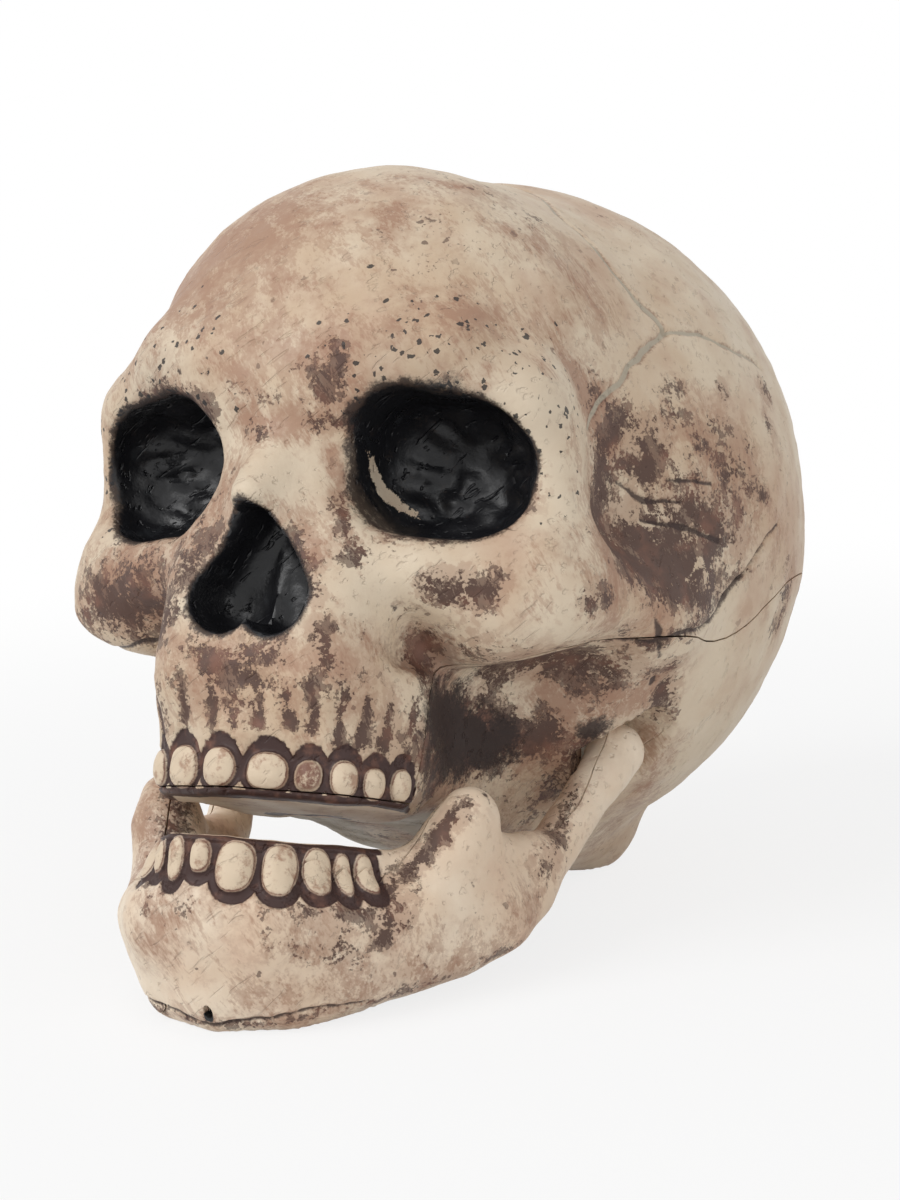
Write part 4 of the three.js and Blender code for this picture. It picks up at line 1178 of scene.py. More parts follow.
class Desk:
    """Places and joins the nodes of one tree."""

    def __init__(self, tree: Tree) -> None:
        """Starts on a tree."""
        self.tree = tree

    def node(self, kind: str, inputs: dict | None = None, **settings: object) -> Node:
        """Returns a new node.

        Args:
            kind: The node's type name.
            inputs: Values or sockets by input name or index.
            **settings: The node's own properties.
        """
        node = self.tree.nodes.new(kind)
        for name, value in settings.items():
            setattr(node, name, value)
        for key, value in (inputs or {}).items():
            self.feed(node.inputs[key], value)
        return node

    def feed(self, socket: Socket, value: object) -> None:
        """Links a socket to an input, or sets the input's value."""
        if isinstance(value, Socket):
            self.tree.links.new(value, socket)
        else:
            socket.default_value = value

    def math(self, operation: str, *values: object, clamp: bool = False) -> Socket:
        """Returns the result of a Math node."""
        node = self.node("ShaderNodeMath", dict(enumerate(values)), operation=operation, use_clamp=clamp)
        return node.outputs[0]

    def times(self, first: object, second: object, clamp: bool = False) -> Socket:
        """Returns a product."""
        return self.math("MULTIPLY", first, second, clamp=clamp)

    def span(self, value: object, low: object, high: object, start: float = 0.0, end: float = 1.0) -> Socket:
        """Returns a value mapped smoothly from one span to another."""
        inputs = {"Value": value, "From Min": low, "From Max": high, "To Min": start, "To Max": end}
        return self.node("ShaderNodeMapRange", inputs, interpolation_type="SMOOTHSTEP").outputs[0]

    def mix(self, share: object, first: object, second: object) -> Socket:
        """Returns two colours mixed by a share."""
        node = self.node("ShaderNodeMix", {0: share, 6: first, 7: second}, data_type="RGBA")
        return node.outputs[2]

    def noise(self, place: object, scale: object, detail: float = 4.0, rough: float = 0.55) -> Socket:
        """Returns the value of a Noise Texture."""
        inputs = {"Vector": place, "Scale": scale, "Detail": detail, "Roughness": rough}
        return self.node("ShaderNodeTexNoise", inputs).outputs[0]

    def stretched(self, place: object, turn_deg: Place, scale: Place) -> Socket:
        """Returns coordinates turned and then stretched, for strokes that run one way."""
        turn = tuple(math.radians(angle) for angle in turn_deg)
        turned_place = self.node("ShaderNodeMapping", {"Vector": place, "Rotation": turn}).outputs[0]
        return self.node("ShaderNodeMapping", {"Vector": turned_place, "Scale": scale}).outputs[0]

    def group(self, tree: Tree, **inputs: object) -> Socket:
        """Returns the first output of a node group.

        Args:
            tree: The group's tree.
            **inputs: Values or sockets by input name, with spaces written as underscores.
        """
        node = self.tree.nodes.new("ShaderNodeGroup")
        node.node_tree = tree
        for name, value in inputs.items():
            self.feed(node.inputs[name.replace("_", " ")], value)
        return node.outputs[0]

    def layer(self, layer: Layer) -> Socket:
        """Returns the mask that a mesh carries for a paint layer."""
        return self.node("ShaderNodeAttribute", attribute_name=layer.value).outputs["Fac"]


def new_group(name: str, inputs: dict[str, object], output: str, kind: str) -> tuple[Desk, Node, Node]:
    """Returns a desk on a new shader group, with its input and output nodes.

    Args:
        name: The group's name.
        inputs: Default values by name; a triple is a vector, four numbers are a colour.
        output: The name of its output.
        kind: The output's socket type.
    """
    tree = bpy.data.node_groups.new(name, "ShaderNodeTree")
    for label, value in inputs.items():
        if isinstance(value, tuple):
            socket = "NodeSocketVector" if len(value) == 3 else "NodeSocketColor"
        else:
            socket = "NodeSocketFloat"
        tree.interface.new_socket(label, in_out="INPUT", socket_type=socket).default_value = value
    tree.interface.new_socket(output, in_out="OUTPUT", socket_type=kind)
    return Desk(tree), tree.nodes.new("NodeGroupInput"), tree.nodes.new("NodeGroupOutput")


class Effects:
    """The shader groups that several finishes share, each built once."""

    def __init__(self) -> None:
        """Builds the groups."""
        self.ragged = self.build_ragged()
        self.flecks = self.build_flecks()
        self.mottle = self.build_mottle()
        self.grain = self.build_grain()

    @staticmethod
    def build_ragged() -> Tree:
        """Returns the group that gives a soft mask a ragged, rubbed edge."""
        inputs = {"Place": (0.0, 0.0, 0.0), "Mask": 0.0, "Scale": 100.0, "Rag": 2.0, "Edge": 0.08}
        desk, start, end = new_group("ragged edge", inputs, "Mask", "NodeSocketFloat")
        place, mask = start.outputs["Place"], start.outputs["Mask"]
        islands = desk.noise(place, start.outputs["Scale"], 9.0, 0.72)
        stipple = desk.noise(place, desk.times(start.outputs["Scale"], 7.0), 3.0, 0.6)
        blended = desk.math("ADD", desk.times(islands, 0.7), desk.times(stipple, 0.3))
        swing = desk.times(desk.math("SUBTRACT", blended, 0.5), start.outputs["Rag"])
        reach = desk.times(mask, 5.0, clamp=True)
        value = desk.times(desk.math("ADD", mask, swing), reach)
        low = desk.math("SUBTRACT", 0.5, start.outputs["Edge"])
        high = desk.math("ADD", 0.5, start.outputs["Edge"])
        desk.feed(end.inputs[0], desk.span(value, low, high))
        return desk.tree

    @staticmethod
    def build_flecks() -> Tree:
        """Returns the group that scatters small uneven spots."""
        inputs = {"Place": (0.0, 0.0, 0.0), "Scale": 200.0, "Size": 0.3, "Share": 0.3}
        desk, start, end = new_group("flecks", inputs, "Mask", "NodeSocketFloat")
        place, scale = start.outputs["Place"], start.outputs["Scale"]
        wobble = desk.node("ShaderNodeTexNoise", {"Vector": place, "Scale": desk.times(scale, 1.7)})
        middle = (0.5, 0.5, 0.5)
        shift = desk.node("ShaderNodeVectorMath", {0: wobble.outputs["Color"], 1: middle}, operation="SUBTRACT")
        amount = desk.math("DIVIDE", 0.9, scale)
        shift = desk.node("ShaderNodeVectorMath", {0: shift.outputs[0], "Scale": amount}, operation="SCALE")
        moved = desk.node("ShaderNodeVectorMath", {0: place, 1: shift.outputs[0]}, operation="ADD").outputs[0]
        cells = desk.node("ShaderNodeTexVoronoi", {"Vector": moved, "Scale": scale})
        draw = desk.node("ShaderNodeSeparateColor", {0: cells.outputs["Color"]})
        kept = desk.math("LESS_THAN", draw.outputs[0], start.outputs["Share"])
        radius = desk.times(start.outputs["Size"], desk.span(draw.outputs[1], 0.0, 1.0, 0.35, 1.0))
        edge = desk.math("SUBTRACT", radius, cells.outputs["Distance"])
        desk.feed(end.inputs[0], desk.times(desk.span(edge, 0.0, 0.06), kept))
        return desk.tree

    @staticmethod
    def build_mottle() -> Tree:
        """Returns the group that mixes three colours in soft clouds."""
        grey = (0.5, 0.5, 0.5, 1.0)
        colours = {"First": grey, "Second": grey, "Third": grey}
        inputs = {"Place": (0.0, 0.0, 0.0), "Scale": 30.0, **colours, "Third Share": 0.5}
        desk, start, end = new_group("mottling", inputs, "Colour", "NodeSocketColor")
        place, scale = start.outputs["Place"], start.outputs["Scale"]
        clouds = desk.span(desk.noise(place, scale, 5.0, 0.6), 0.36, 0.64)
        blots = desk.span(desk.noise(place, desk.times(scale, 1.9), 6.0, 0.62), 0.48, 0.7)
        mixed = desk.mix(clouds, start.outputs["First"], start.outputs["Second"])
        share = desk.times(blots, start.outputs["Third Share"])
        desk.feed(end.inputs[0], desk.mix(share, mixed, start.outputs["Third"]))
        return desk.tree

    @staticmethod
    def build_grain() -> Tree:
        """Returns the group that gives the height of a fine grain with scratches."""
        inputs = {"Place": (0.0, 0.0, 0.0), "Scale": 700.0, "Scratches": 0.5}
        desk, start, end = new_group("grain", inputs, "Height", "NodeSocketFloat")
        place, scale = start.outputs["Place"], start.outputs["Scale"]
        fine = desk.noise(place, scale, 3.0, 0.6)
        dents = desk.noise(place, desk.times(scale, 0.16), 4.0, 0.5)
        strokes = desk.noise(desk.stretched(place, (20, 35, 10), (0.12, 1.0, 1.0)), scale, 2.0, 0.5)
        scratches = desk.times(desk.span(strokes, 0.6, 0.72), start.outputs["Scratches"])
        height = desk.math("ADD", desk.times(fine, 0.25), dents)
        desk.feed(end.inputs[0], desk.math("SUBTRACT", height, scratches))
        return desk.tree


class Brush(Desk):
    """A desk on a new material's tree, with the shared effects at hand."""

    def __init__(self, name: str, effects: Effects | None = None) -> None:
        """Makes the material.

        Args:
            name: The material's name.
            effects: The shared shader groups, if the material uses them.
        """
        self.material = bpy.data.materials.new(name)
        self.material.use_nodes = True
        super().__init__(self.material.node_tree)
        self.effects = effects
        self.shader = self.tree.nodes["Principled BSDF"]
        self.place = self.node("ShaderNodeTexCoord").outputs["Object"]

    def cloud(self, scale: float, detail: float = 4.0, rough: float = 0.55) -> Socket:
        """Returns the value of a Noise Texture on the material's own place."""
        return self.noise(self.place, scale, detail, rough)

    def ragged(self, mask: object, scale: float, rag: float, edge: float, place: object | None = None) -> Socket:
        """Returns a soft mask with a ragged edge.

        Args:
            mask: The soft mask.
            scale: How fine the rags are.
            rag: How far they reach.
            edge: How soft they end.
            place: Other coordinates, for rags that run one way.
        """
        where = self.place if place is None else place
        return self.group(self.effects.ragged, Place=where, Mask=mask, Scale=scale, Rag=rag, Edge=edge)

    def spots(self, scale: float, size: float, share: object) -> Socket:
        """Returns the mask of scattered small spots."""
        return self.group(self.effects.flecks, Place=self.place, Scale=scale, Size=size, Share=share)

    def mottled(self, scale: float, first: str, second: str, third: str, share: float) -> Socket:
        """Returns three colours mixed in soft clouds, the third by a share."""
        colours = {"First": tint(first), "Second": tint(second), "Third": tint(third)}
        return self.group(self.effects.mottle, Place=self.place, Scale=scale, **colours, Third_Share=share)

    def cover(self, colour: object, mask: object, amount: float, paint: str) -> Socket:
        """Returns a colour under an amount of paint where a mask is."""
        return self.mix(self.times(mask, amount), colour, tint(paint))

    def finished(self, colour: object, rough: object, height: object, strength: float, distance: float) -> Material:
        """Joins everything to the shader and returns the material.

        Args:
            colour: The base colour.
            rough: The roughness.
            height: The height that the bump is made from.
            strength: The bump's strength.
            distance: The bump's depth in metres.
        """
        bump = self.node("ShaderNodeBump", {"Strength": strength, "Distance": distance, "Height": height})
        for label, value in (("Base Color", colour), ("Roughness", rough), ("Normal", bump.outputs[0])):
            self.feed(self.shader.inputs[label], value)
        return self.material


@dataclass(frozen=True)
class AgedBone:
    """Bone-coloured moulded plastic, washed and sprayed to look old."""

    name: str
    ivory: str = "#dfceb6"
    tan: str = "#cbb195"
    blush: str = "#c2a08a"
    wash: str = "#a27a63"
    stain: str = "#533c34"
    stain_edge: str = "#7b5546"
    line: str = "#3a2925"
    suture: str = "#b9b09d"
    # near-black of the dark paint edges and of the painted shade in deep hollows
    soot: str = "#2b1d19"
    black: str = "#17171a"
    # grey painted sheen on the black paint
    black_sheen: str = "#3a3d40"
    tooth: str = "#dfcbb1"
    gum: str = "#3d2723"
    flecks: float = 0.3
    general_stain: float = 0.2
    general_wash: float = 0.4
    blush_share: float = 0.5

    def material(self, effects: Effects) -> Material:
        """Returns the finish as a material.

        Args:
            effects: The shared shader groups.
        """
        brush = Brush(self.name, effects)
        scrape = brush.ragged(brush.layer(Layer.SCRAPE), 420.0, 2.2, 0.1)
        colour = self.washed(brush, self.plain(brush), scrape)
        colour, stain = self.stained(brush, colour, scrape)
        colour = self.toothed(brush, self.lined(brush, colour))
        colour, black = self.blackened(brush, colour, scrape)
        rough = brush.math("ADD", brush.span(brush.cloud(90.0, 5.0), 0.3, 0.7, 0.46, 0.6), brush.times(stain, 0.06))
        rough = brush.math("SUBTRACT", rough, brush.times(black, 0.2))
        grain = brush.group(effects.grain, Place=brush.place, Scale=620.0, Scratches=0.8)
        height = brush.math("SUBTRACT", grain, brush.times(stain, 0.5))
        brush.shader.inputs["Specular IOR Level"].default_value = 0.4
        return brush.finished(colour, rough, height, 0.6, 0.0007)

    def plain(self, brush: Brush) -> Socket:
        """Returns the mottled bone colour with fine strokes of thin wash."""
        colour = brush.mottled(24.0, self.ivory, self.tan, self.blush, self.blush_share)
        for turn_deg, amount in (((15, 40, 0), 0.4), ((-35, 10, 60), 0.3)):
            strokes = brush.noise(brush.stretched(brush.place, turn_deg, (0.16, 1.0, 1.0)), 330.0, 5.0, 0.65)
            region = brush.span(brush.cloud(40.0, 3.0), 0.45, 0.68)
            colour = brush.cover(colour, brush.times(brush.span(strokes, 0.55, 0.72), region), amount, self.wash)
        return colour

    def washed(self, brush: Brush, colour: object, scrape: object) -> Socket:
        """Returns the colour under the thin wash, which also gathers where the surface curves in."""
        mask = brush.math("SUBTRACT", brush.layer(Layer.WASH), brush.times(scrape, 0.8))
        region = brush.span(brush.cloud(26.0, 4.0, 0.6), 0.42, 0.66)
        mask = brush.math("MAXIMUM", mask, brush.times(region, self.general_wash))
        broad = brush.ragged(mask, 70.0, 3.0, 0.3)
        fine = brush.ragged(mask, 240.0, 4.0, 0.16, brush.stretched(brush.place, (0, 30, 20), (1.0, 1.0, 0.3)))
        share = brush.math("ADD", brush.times(broad, 0.42), brush.times(fine, 0.4), clamp=True)
        colour = brush.mix(share, colour, tint(self.wash))
        return brush.cover(colour, brush.ragged(brush.layer(Layer.HOLLOW), 120.0, 2.6, 0.25), 0.7, self.stain_edge)

    def stained(self, brush: Brush, colour: object, scrape: object) -> tuple[Socket, Socket]:
        """Returns the colour under the dark patches and flecks, and their mask."""
        region = brush.span(brush.cloud(34.0, 3.0), 0.42, 0.66)
        bare = brush.math("SUBTRACT", 1.0, brush.layer(Layer.TOOTH))
        general = brush.times(brush.times(region, self.general_stain), bare)
        mask = brush.math("MAXIMUM", brush.math("SUBTRACT", brush.layer(Layer.STAIN), scrape), general)
        patch = brush.ragged(mask, 170.0, 3.4, 0.05)
        streaks = brush.ragged(mask, 330.0, 4.0, 0.06, brush.stretched(brush.place, (0, 25, 0), (1.0, 1.0, 0.4)))
        patch = brush.math("MAXIMUM", brush.times(patch, streaks), brush.times(patch, 0.72))
        halo = brush.ragged(brush.math("ADD", mask, 0.16), 90.0, 4.0, 0.12)
        colour = brush.cover(colour, brush.times(halo, brush.times(mask, 4.0, clamp=True)), 0.4, self.wash)
        small = brush.spots(310.0, 0.26, self.flecks)
        torn = brush.span(brush.cloud(520.0, 4.0, 0.7), 0.46, 0.56)
        large = brush.times(brush.spots(85.0, 0.2, self.flecks * 0.6), torn)
        spots = brush.times(brush.math("MAXIMUM", small, large), region)
        stains = brush.math("MAXIMUM", patch, brush.times(brush.times(spots, bare), 0.75))
        depth = brush.span(brush.cloud(130.0, 5.0), 0.28, 0.52)
        brown = brush.mix(depth, tint(self.stain_edge), tint(self.stain))
        return brush.mix(brush.times(stains, 0.96), colour, brown), stains

    def lined(self, brush: Brush, colour: object) -> Socket:
        """Returns the colour with the dark cracks and the pale sutures."""
        suture = brush.layer(Layer.SUTURE)
        colour = brush.cover(colour, brush.ragged(suture, 200.0, 2.4, 0.2), 0.6, self.stain_edge)
        colour = brush.cover(colour, brush.span(suture, 0.5, 0.62), 0.85, self.suture)
        return brush.cover(colour, brush.ragged(brush.layer(Layer.LINE), 260.0, 1.2, 0.15), 0.9, self.line)

    def toothed(self, brush: Brush, colour: object) -> Socket:
        """Returns the colour with the dark furrows and the rubbed tooth faces."""
        # the reddish brown mottling in the dark furrows is painted sheen
        dark = brush.mix(brush.span(brush.cloud(260.0), 0.5, 0.8), tint(self.gum), tint(self.stain_edge))
        colour = brush.mix(brush.ragged(brush.layer(Layer.GUM), 300.0, 1.0, 0.16), colour, dark)
        face = brush.layer(Layer.TOOTH)
        tooth = brush.ragged(face, 260.0, 2.0, 0.14)
        # the reddish brown ring round each tooth face is painted sheen on the furrow's edge
        colour = brush.mix(brush.span(face, 0.02, 0.5), colour, tint(self.stain_edge))
        worn = brush.span(brush.cloud(240.0, 8.0, 0.72), 0.5, 0.64)
        bone = brush.mix(brush.times(worn, 0.75), tint(self.tooth), tint(self.wash))
        return brush.mix(brush.times(tooth, brush.span(face, 0.2, 0.9, 0.75, 1.0)), colour, bone)

    def blackened(self, brush: Brush, colour: object, scrape: object) -> tuple[Socket, Socket]:
        """Returns the colour under the dark paint edges and the painted shade of deep hollows, the droplets and the
        black paint with its grey painted sheen, and the paint's mask.
        """
        # the near-black layer: painted shade in deep hollows, and the dark edge round the black paint
        soot = brush.ragged(brush.math("SUBTRACT", brush.layer(Layer.SOOT), scrape), 260.0, 2.0, 0.2)
        colour = brush.cover(colour, soot, 0.93, self.soot)
        spray = brush.layer(Layer.SPRAY)
        share = brush.math("POWER", spray, 1.5)
        droplets = brush.spots(560.0, 0.4, brush.times(share, 0.9))
        drops = brush.spots(300.0, 0.3, brush.times(share, 0.6))
        haze = brush.times(brush.span(spray, 0.45, 1.0), 0.3)
        dots = brush.math("MAXIMUM", brush.math("MAXIMUM", droplets, drops), haze)
        colour = brush.cover(colour, dots, 0.9, self.black)
        black = brush.ragged(brush.math("SUBTRACT", brush.layer(Layer.BLACK), scrape), 240.0, 0.9, 0.12)
        # painted sheen: grey patches on the black paint
        rubbed = brush.times(brush.span(brush.cloud(300.0, 5.0), 0.55, 0.75), 0.35)
        return brush.mix(black, colour, brush.mix(rubbed, tint(self.black), tint(self.black_sheen))), black


@dataclass(frozen=True)
class TurnedMetal:
    """Bare metal with fine marks of the tool around the pivot axis."""

    name: str
    colour: str
    worn: str
    rough: float

    def material(self, effects: Effects) -> Material:
        """Returns the finish as a material.

        Args:
            effects: The shared shader groups.
        """
        brush = Brush(self.name, effects)
        marks = brush.noise(brush.stretched(brush.place, (0, 0, 0), (9.0, 1.0, 1.0)), 1500.0, 3.0)
        colour = brush.mottled(600.0, self.colour, self.worn, self.worn, 0.4)
        brush.shader.inputs["Metallic"].default_value = 1.0
        rough = brush.span(marks, 0.3, 0.7, self.rough - 0.08, self.rough + 0.1)
        return brush.finished(colour, rough, marks, 0.15, 0.0001)


@dataclass(frozen=True)
class SatinNylon:
    """Natural nylon, cloudy and slightly waxy."""

    name: str
    pale: str = "#e6e2d6"
    cloudy: str = "#d8d2c0"

    def material(self, effects: Effects) -> Material:
        """Returns the finish as a material.

        Args:
            effects: The shared shader groups.
        """
        brush = Brush(self.name, effects)
        colour = brush.mottled(300.0, self.pale, self.cloudy, self.cloudy, 0.3)
        grain = brush.group(effects.grain, Place=brush.place, Scale=2500.0, Scratches=0.3)
        return brush.finished(colour, brush.span(grain, 0.3, 1.0, 0.4, 0.52), grain, 0.15, 0.0001)


# Pivot hardware, by Geometry Nodes


class RingTree:
    """The node tree that sweeps a rectangular section round the pivot axis."""

    LENGTHS = ("Middle Radius", "Width", "Thickness", "Rounding", "Wave Height", "Wave Count", "Tilt")

    def __init__(self) -> None:
        """Builds the tree."""
        self.tree = bpy.data.node_groups.new("pivot ring", "GeometryNodeTree")
        self.sockets = {}
        for label in self.LENGTHS:
            socket = self.tree.interface.new_socket(label, in_out="INPUT", socket_type="NodeSocketFloat")
            self.sockets[label] = socket.identifier
        finish = self.tree.interface.new_socket("Finish", in_out="INPUT", socket_type="NodeSocketMaterial")
        self.sockets["Finish"] = finish.identifier
        self.tree.interface.new_socket("Geometry", in_out="OUTPUT", socket_type="NodeSocketGeometry")
        self.build()

    def build(self) -> None:
        """Places the nodes: a waved circle, a rounded section swept along it and the finish."""
        desk = Desk(self.tree)
        start = self.tree.nodes.new("NodeGroupInput").outputs
        circle = desk.node("GeometryNodeCurvePrimitiveCircle", {"Resolution": 96, "Radius": start["Middle Radius"]})
        place = desk.node("ShaderNodeSeparateXYZ", {0: desk.node("GeometryNodeInputPosition").outputs[0]})
        bearing = desk.math("ARCTAN2", place.outputs[1], place.outputs[0])
        wave = desk.math("SINE", desk.times(bearing, start["Wave Count"]))
        lift = desk.node("ShaderNodeCombineXYZ", {2: desk.times(wave, start["Wave Height"])})
        path = desk.node("GeometryNodeSetPosition", {"Geometry": circle.outputs[0], "Offset": lift.outputs[0]})
        path = desk.node("GeometryNodeSetCurveTilt", {"Curve": path.outputs[0], "Tilt": start["Tilt"]})
        section = desk.node(
            "GeometryNodeCurvePrimitiveQuadrilateral", {"Width": start["Width"], "Height": start["Thickness"]}
        )
        fillet = {"Curve": section.outputs[0], "Radius": start["Rounding"], "Count": 3}
        section = desk.node("GeometryNodeFilletCurve", fillet, mode="POLY")
        ring = desk.node("GeometryNodeCurveToMesh", {"Curve": path.outputs[0], "Profile Curve": section.outputs[0]})
        real = desk.node("GeometryNodeRealizeInstances", {"Geometry": ring.outputs[0]})
        dressed = desk.node("GeometryNodeSetMaterial", {"Geometry": real.outputs[0], "Material": start["Finish"]})
        end = self.tree.nodes.new("NodeGroupOutput")
        self.tree.links.new(dressed.outputs[0], end.inputs[0])


@dataclass(frozen=True)
class Ring:
    """A washer or nut on the pivot pin. Lengths are in millimetres."""

    node: str
    bore: float
    outer: float
    thickness: float
    wave_height: float = 0.0
    dish: float = 0.0

    def build(self, rings: RingTree, side: Side, finish: Material) -> Piece:
        """Returns the ring as a plain mesh where its CAD node is.

        Args:
            rings: The tree that makes rings.
            side: The side of the skull.
            finish: The ring's material.
        """
        name = f"{self.node}_{side.name.lower()}"
        piece = new_object(f"{name}_visual", bpy.data.meshes.new(name))
        modifier = piece.modifiers.new("ring", "NODES")
        modifier.node_group = rings.tree
        width = self.outer - self.bore
        sizes = {
            "Middle Radius": (self.outer + self.bore) / 2000,
            "Width": width / 1000,
            "Thickness": self.thickness / 1000,
            "Rounding": self.thickness / 5000,
            "Wave Height": self.wave_height / 1000,
            "Wave Count": 3.0,
            "Tilt": math.atan2(self.dish, width),
            "Finish": finish,
        }
        for label, value in sizes.items():
            modifier[rings.sockets[label]] = value
        settle_modifiers(piece)
        low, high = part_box(name)
        turn = Matrix.Rotation(math.radians(90 * side.value), 4, "Y")
        piece.data.transform(Matrix.Translation((low + high) / 2) @ turn)
        turn_outwards(piece.data)
        smooth(piece, 40)
        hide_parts(name)
        return piece


@dataclass(frozen=True)
class PivotPin:
    """A headed pin, turned from a profile of X and radius in millimetres, from its tail outwards."""

    shaft_radius: float = 1.75
    head_radius: float = 3.2
    head_thickness: float = 1.4
    tail_chamfer: float = 0.45
    groove_starts: tuple[float, ...] = (1.3, 1.8, 2.3)
    groove_depth: float = 0.12
    head_round: float = 0.6
    sides: int = 64

    def profile(self, length: float) -> list[tuple[float, float]]:
        """Returns the outline of a pin of a length, with the grooves that the nut's teeth cut in its tail."""
        shaft, head = self.shaft_radius, self.head_radius
        under = length - self.head_thickness
        outline = [(0.0, 0.0), (0.0, shaft - self.tail_chamfer), (0.4, shaft)]
        for start in self.groove_starts:
            outline += [(start, shaft), (start + 0.1, shaft - self.groove_depth), (start + 0.25, shaft)]
        outline += [(under - 0.2, shaft), (under, shaft + 0.15), (under, head - 0.12), (under + 0.12, head)]
        for step in range(7):
            angle = math.radians(90 * step / 6)
            fall = self.head_round * (1 - math.cos(angle))
            outline.append((length - 0.5 + 0.5 * math.sin(angle), head - fall))
        return outline + [(length - 0.05, head * 0.4), (length - 0.12, 0.0)]

    def build(self, side: Side, finish: Material) -> Piece:
        """Returns the pin where its CAD node is.

        Args:
            side: The side of the skull.
            finish: The pin's material.
        """
        name = f"pivot_pin_{side.name.lower()}"
        low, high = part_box(name)
        middle = (low + high) / 2
        outline = self.profile((high.x - low.x) * 1000)
        work = bmesh.new()
        rings = []
        for along, radius in outline:
            count = self.sides if radius > 0 else 1
            x = low.x + along / 1000 if side is Side.LEFT else high.x - along / 1000
            reach = radius / 1000
            angles = [2 * math.pi * step / count for step in range(count)]
            places = [(x, middle.y + reach * math.cos(a), middle.z + reach * math.sin(a)) for a in angles]
            rings.append([work.verts.new(spot) for spot in places])
        for first, second in zip(rings[:-1], rings[1:]):
            for step in range(self.sides):
                after = (step + 1) % self.sides
                turns = ((first, step), (first, after), (second, after), (second, step))
                work.faces.new(list(dict.fromkeys(ring[number % len(ring)] for ring, number in turns)))
        mesh = bpy.data.meshes.new(name)
        work.to_mesh(mesh)
        work.free()
        turn_outwards(mesh)
        piece = new_object(f"{name}_visual", mesh)
        mesh.materials.append(finish)
        smooth(piece, 35)
        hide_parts(name)
        return piece


@dataclass(frozen=True)
class PivotHardware:
    """The pins, washers and nuts of both jaw joints."""

    pin: PivotPin = PivotPin()
    friction_washer: Ring = Ring("friction_washer", 2.05, 5.5, 1.2)
    wave_washer: Ring = Ring("wave_washer", 2.05, 5.0, 0.4, wave_height=0.28)
    push_nut: Ring = Ring("push_nut", 2.05, 4.4, 0.7, dish=0.35)

    def build(self, effects: Effects) -> None:
        """Builds and dresses every piece.

        Args:
            effects: The shared shader groups.
        """
        rings = RingTree()
        steel = TurnedMetal("turned steel", "#b3b5b7", "#9a9c9f", 0.3).material(effects)
        spring = TurnedMetal("spring steel", "#8b8f94", "#6e7379", 0.34).material(effects)
        nylon = SatinNylon("satin nylon").material(effects)
        for side in (Side.LEFT, Side.RIGHT):
            self.place(self.pin.build(side, steel), "jaw", "pin_steel")
            self.place(self.push_nut.build(rings, side, spring), "jaw", "spring_steel")
            self.place(self.friction_washer.build(rings, side, nylon), "cranium", "washer_nylon")
            self.place(self.wave_washer.build(rings, side, spring), "cranium", "spring_steel")

    @staticmethod
    def place(piece: Piece, body: str, slot: str) -> None:
        """Lets a piece ride on its body."""
        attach(piece, body)
        LOG.info("%s rides on %s", piece.name, body)


# Shells


@dataclass(frozen=True)
class Pivot:
    """The sizes of the jaw's pivots that the shells are cut for, in shares."""

    seat: float = 41.0 * MILLIMETRE
    pad_thickness: float = 3.0 * MILLIMETRE
    pad_radius: float = 12.0 * MILLIMETRE
    pocket_radius: float = 9.5 * MILLIMETRE
    boss_face: float = 42.8 * MILLIMETRE
    boss_radius: float = 6.4 * MILLIMETRE
    bore_radius: float = 2.05 * MILLIMETRE
    head_pocket: tuple[float, float] = (45.7 * MILLIMETRE, 3.5 * MILLIMETRE)
    seam: float = 0.53
    clearance: float = 2.0 * MILLIMETRE
    sweep_deg: tuple[float, ...] = (-4, 0, 5, 14)

    def disc(self, inner: float, outer: float, radius: float) -> Disc:
        """Returns a disc on the pivot axis."""
        return Disc(inner=inner, outer=outer, radius=radius, height=STANCE.pivot_height)


PIVOT = Pivot()


def ramus_sweep(points: Array) -> Array:
    """Returns the distance to the space that the rear of the jaw sweeps as it opens and closes."""
    pivot = np.array((0, 0, STANCE.pivot_height), points.dtype)
    return np.minimum.reduce(
        [sculpt(JAW_RAMUS_FORMS, turned(points, pivot, (angle, 0, 0)) + pivot) for angle in PIVOT.sweep_deg]
    )


def cranium_solid(points: Array) -> Array:
    """Returns the distance to the cranium with room for the jaw and its pivot pads."""
    body = smooth_max(cranium_distance(points), PIVOT.clearance - ramus_sweep(points), 0.01)
    mirrored = folded(points)
    body = smooth_max(body, -PIVOT.disc(PIVOT.seat, 2.0, PIVOT.pocket_radius).distance(mirrored), 0.01)
    pad = PIVOT.disc(PIVOT.seat - PIVOT.pad_thickness, PIVOT.seat, PIVOT.pad_radius)
    return np.maximum(np.minimum(body, pad.distance(mirrored)), -STANCE.height(points))


def cranium_cavity(points: Array) -> Array:
    """Returns the distance to the hollow inside the cranium's walls."""
    room = PIVOT.clearance + 2 * WALL - ramus_sweep(points)
    inside = smooth_max(cranium_distance(points) + WALL, room, 0.01)
    mirrored = folded(points)
    pad = PIVOT.disc(PIVOT.seat - PIVOT.pad_thickness, 9.0, PIVOT.pad_radius)
    return np.maximum.reduce([inside, -pad.distance(mirrored), WALL - STANCE.height(points)])


def jaw_solid(points: Array) -> Array:
    """Returns the distance to the lower jaw with its pivot bosses."""
    mirrored = folded(points)
    boss = PIVOT.disc(PIVOT.boss_face, PIVOT.seam, PIVOT.boss_radius).distance(mirrored)
    body = smooth_min(jaw_distance(points), boss, 0.02)
    room = PIVOT.disc(-9.0, PIVOT.boss_face, PIVOT.pad_radius + SEAM_GAP).distance(mirrored)
    return np.maximum.reduce([body, -room, -STANCE.height(points)])


def jaw_cavity(points: Array) -> Array:
    """Returns the distance to the hollow inside the jaw's walls."""
    return np.maximum.reduce([jaw_distance(points) + WALL, points[..., 2] + 0.7, WALL - STANCE.height(points)])


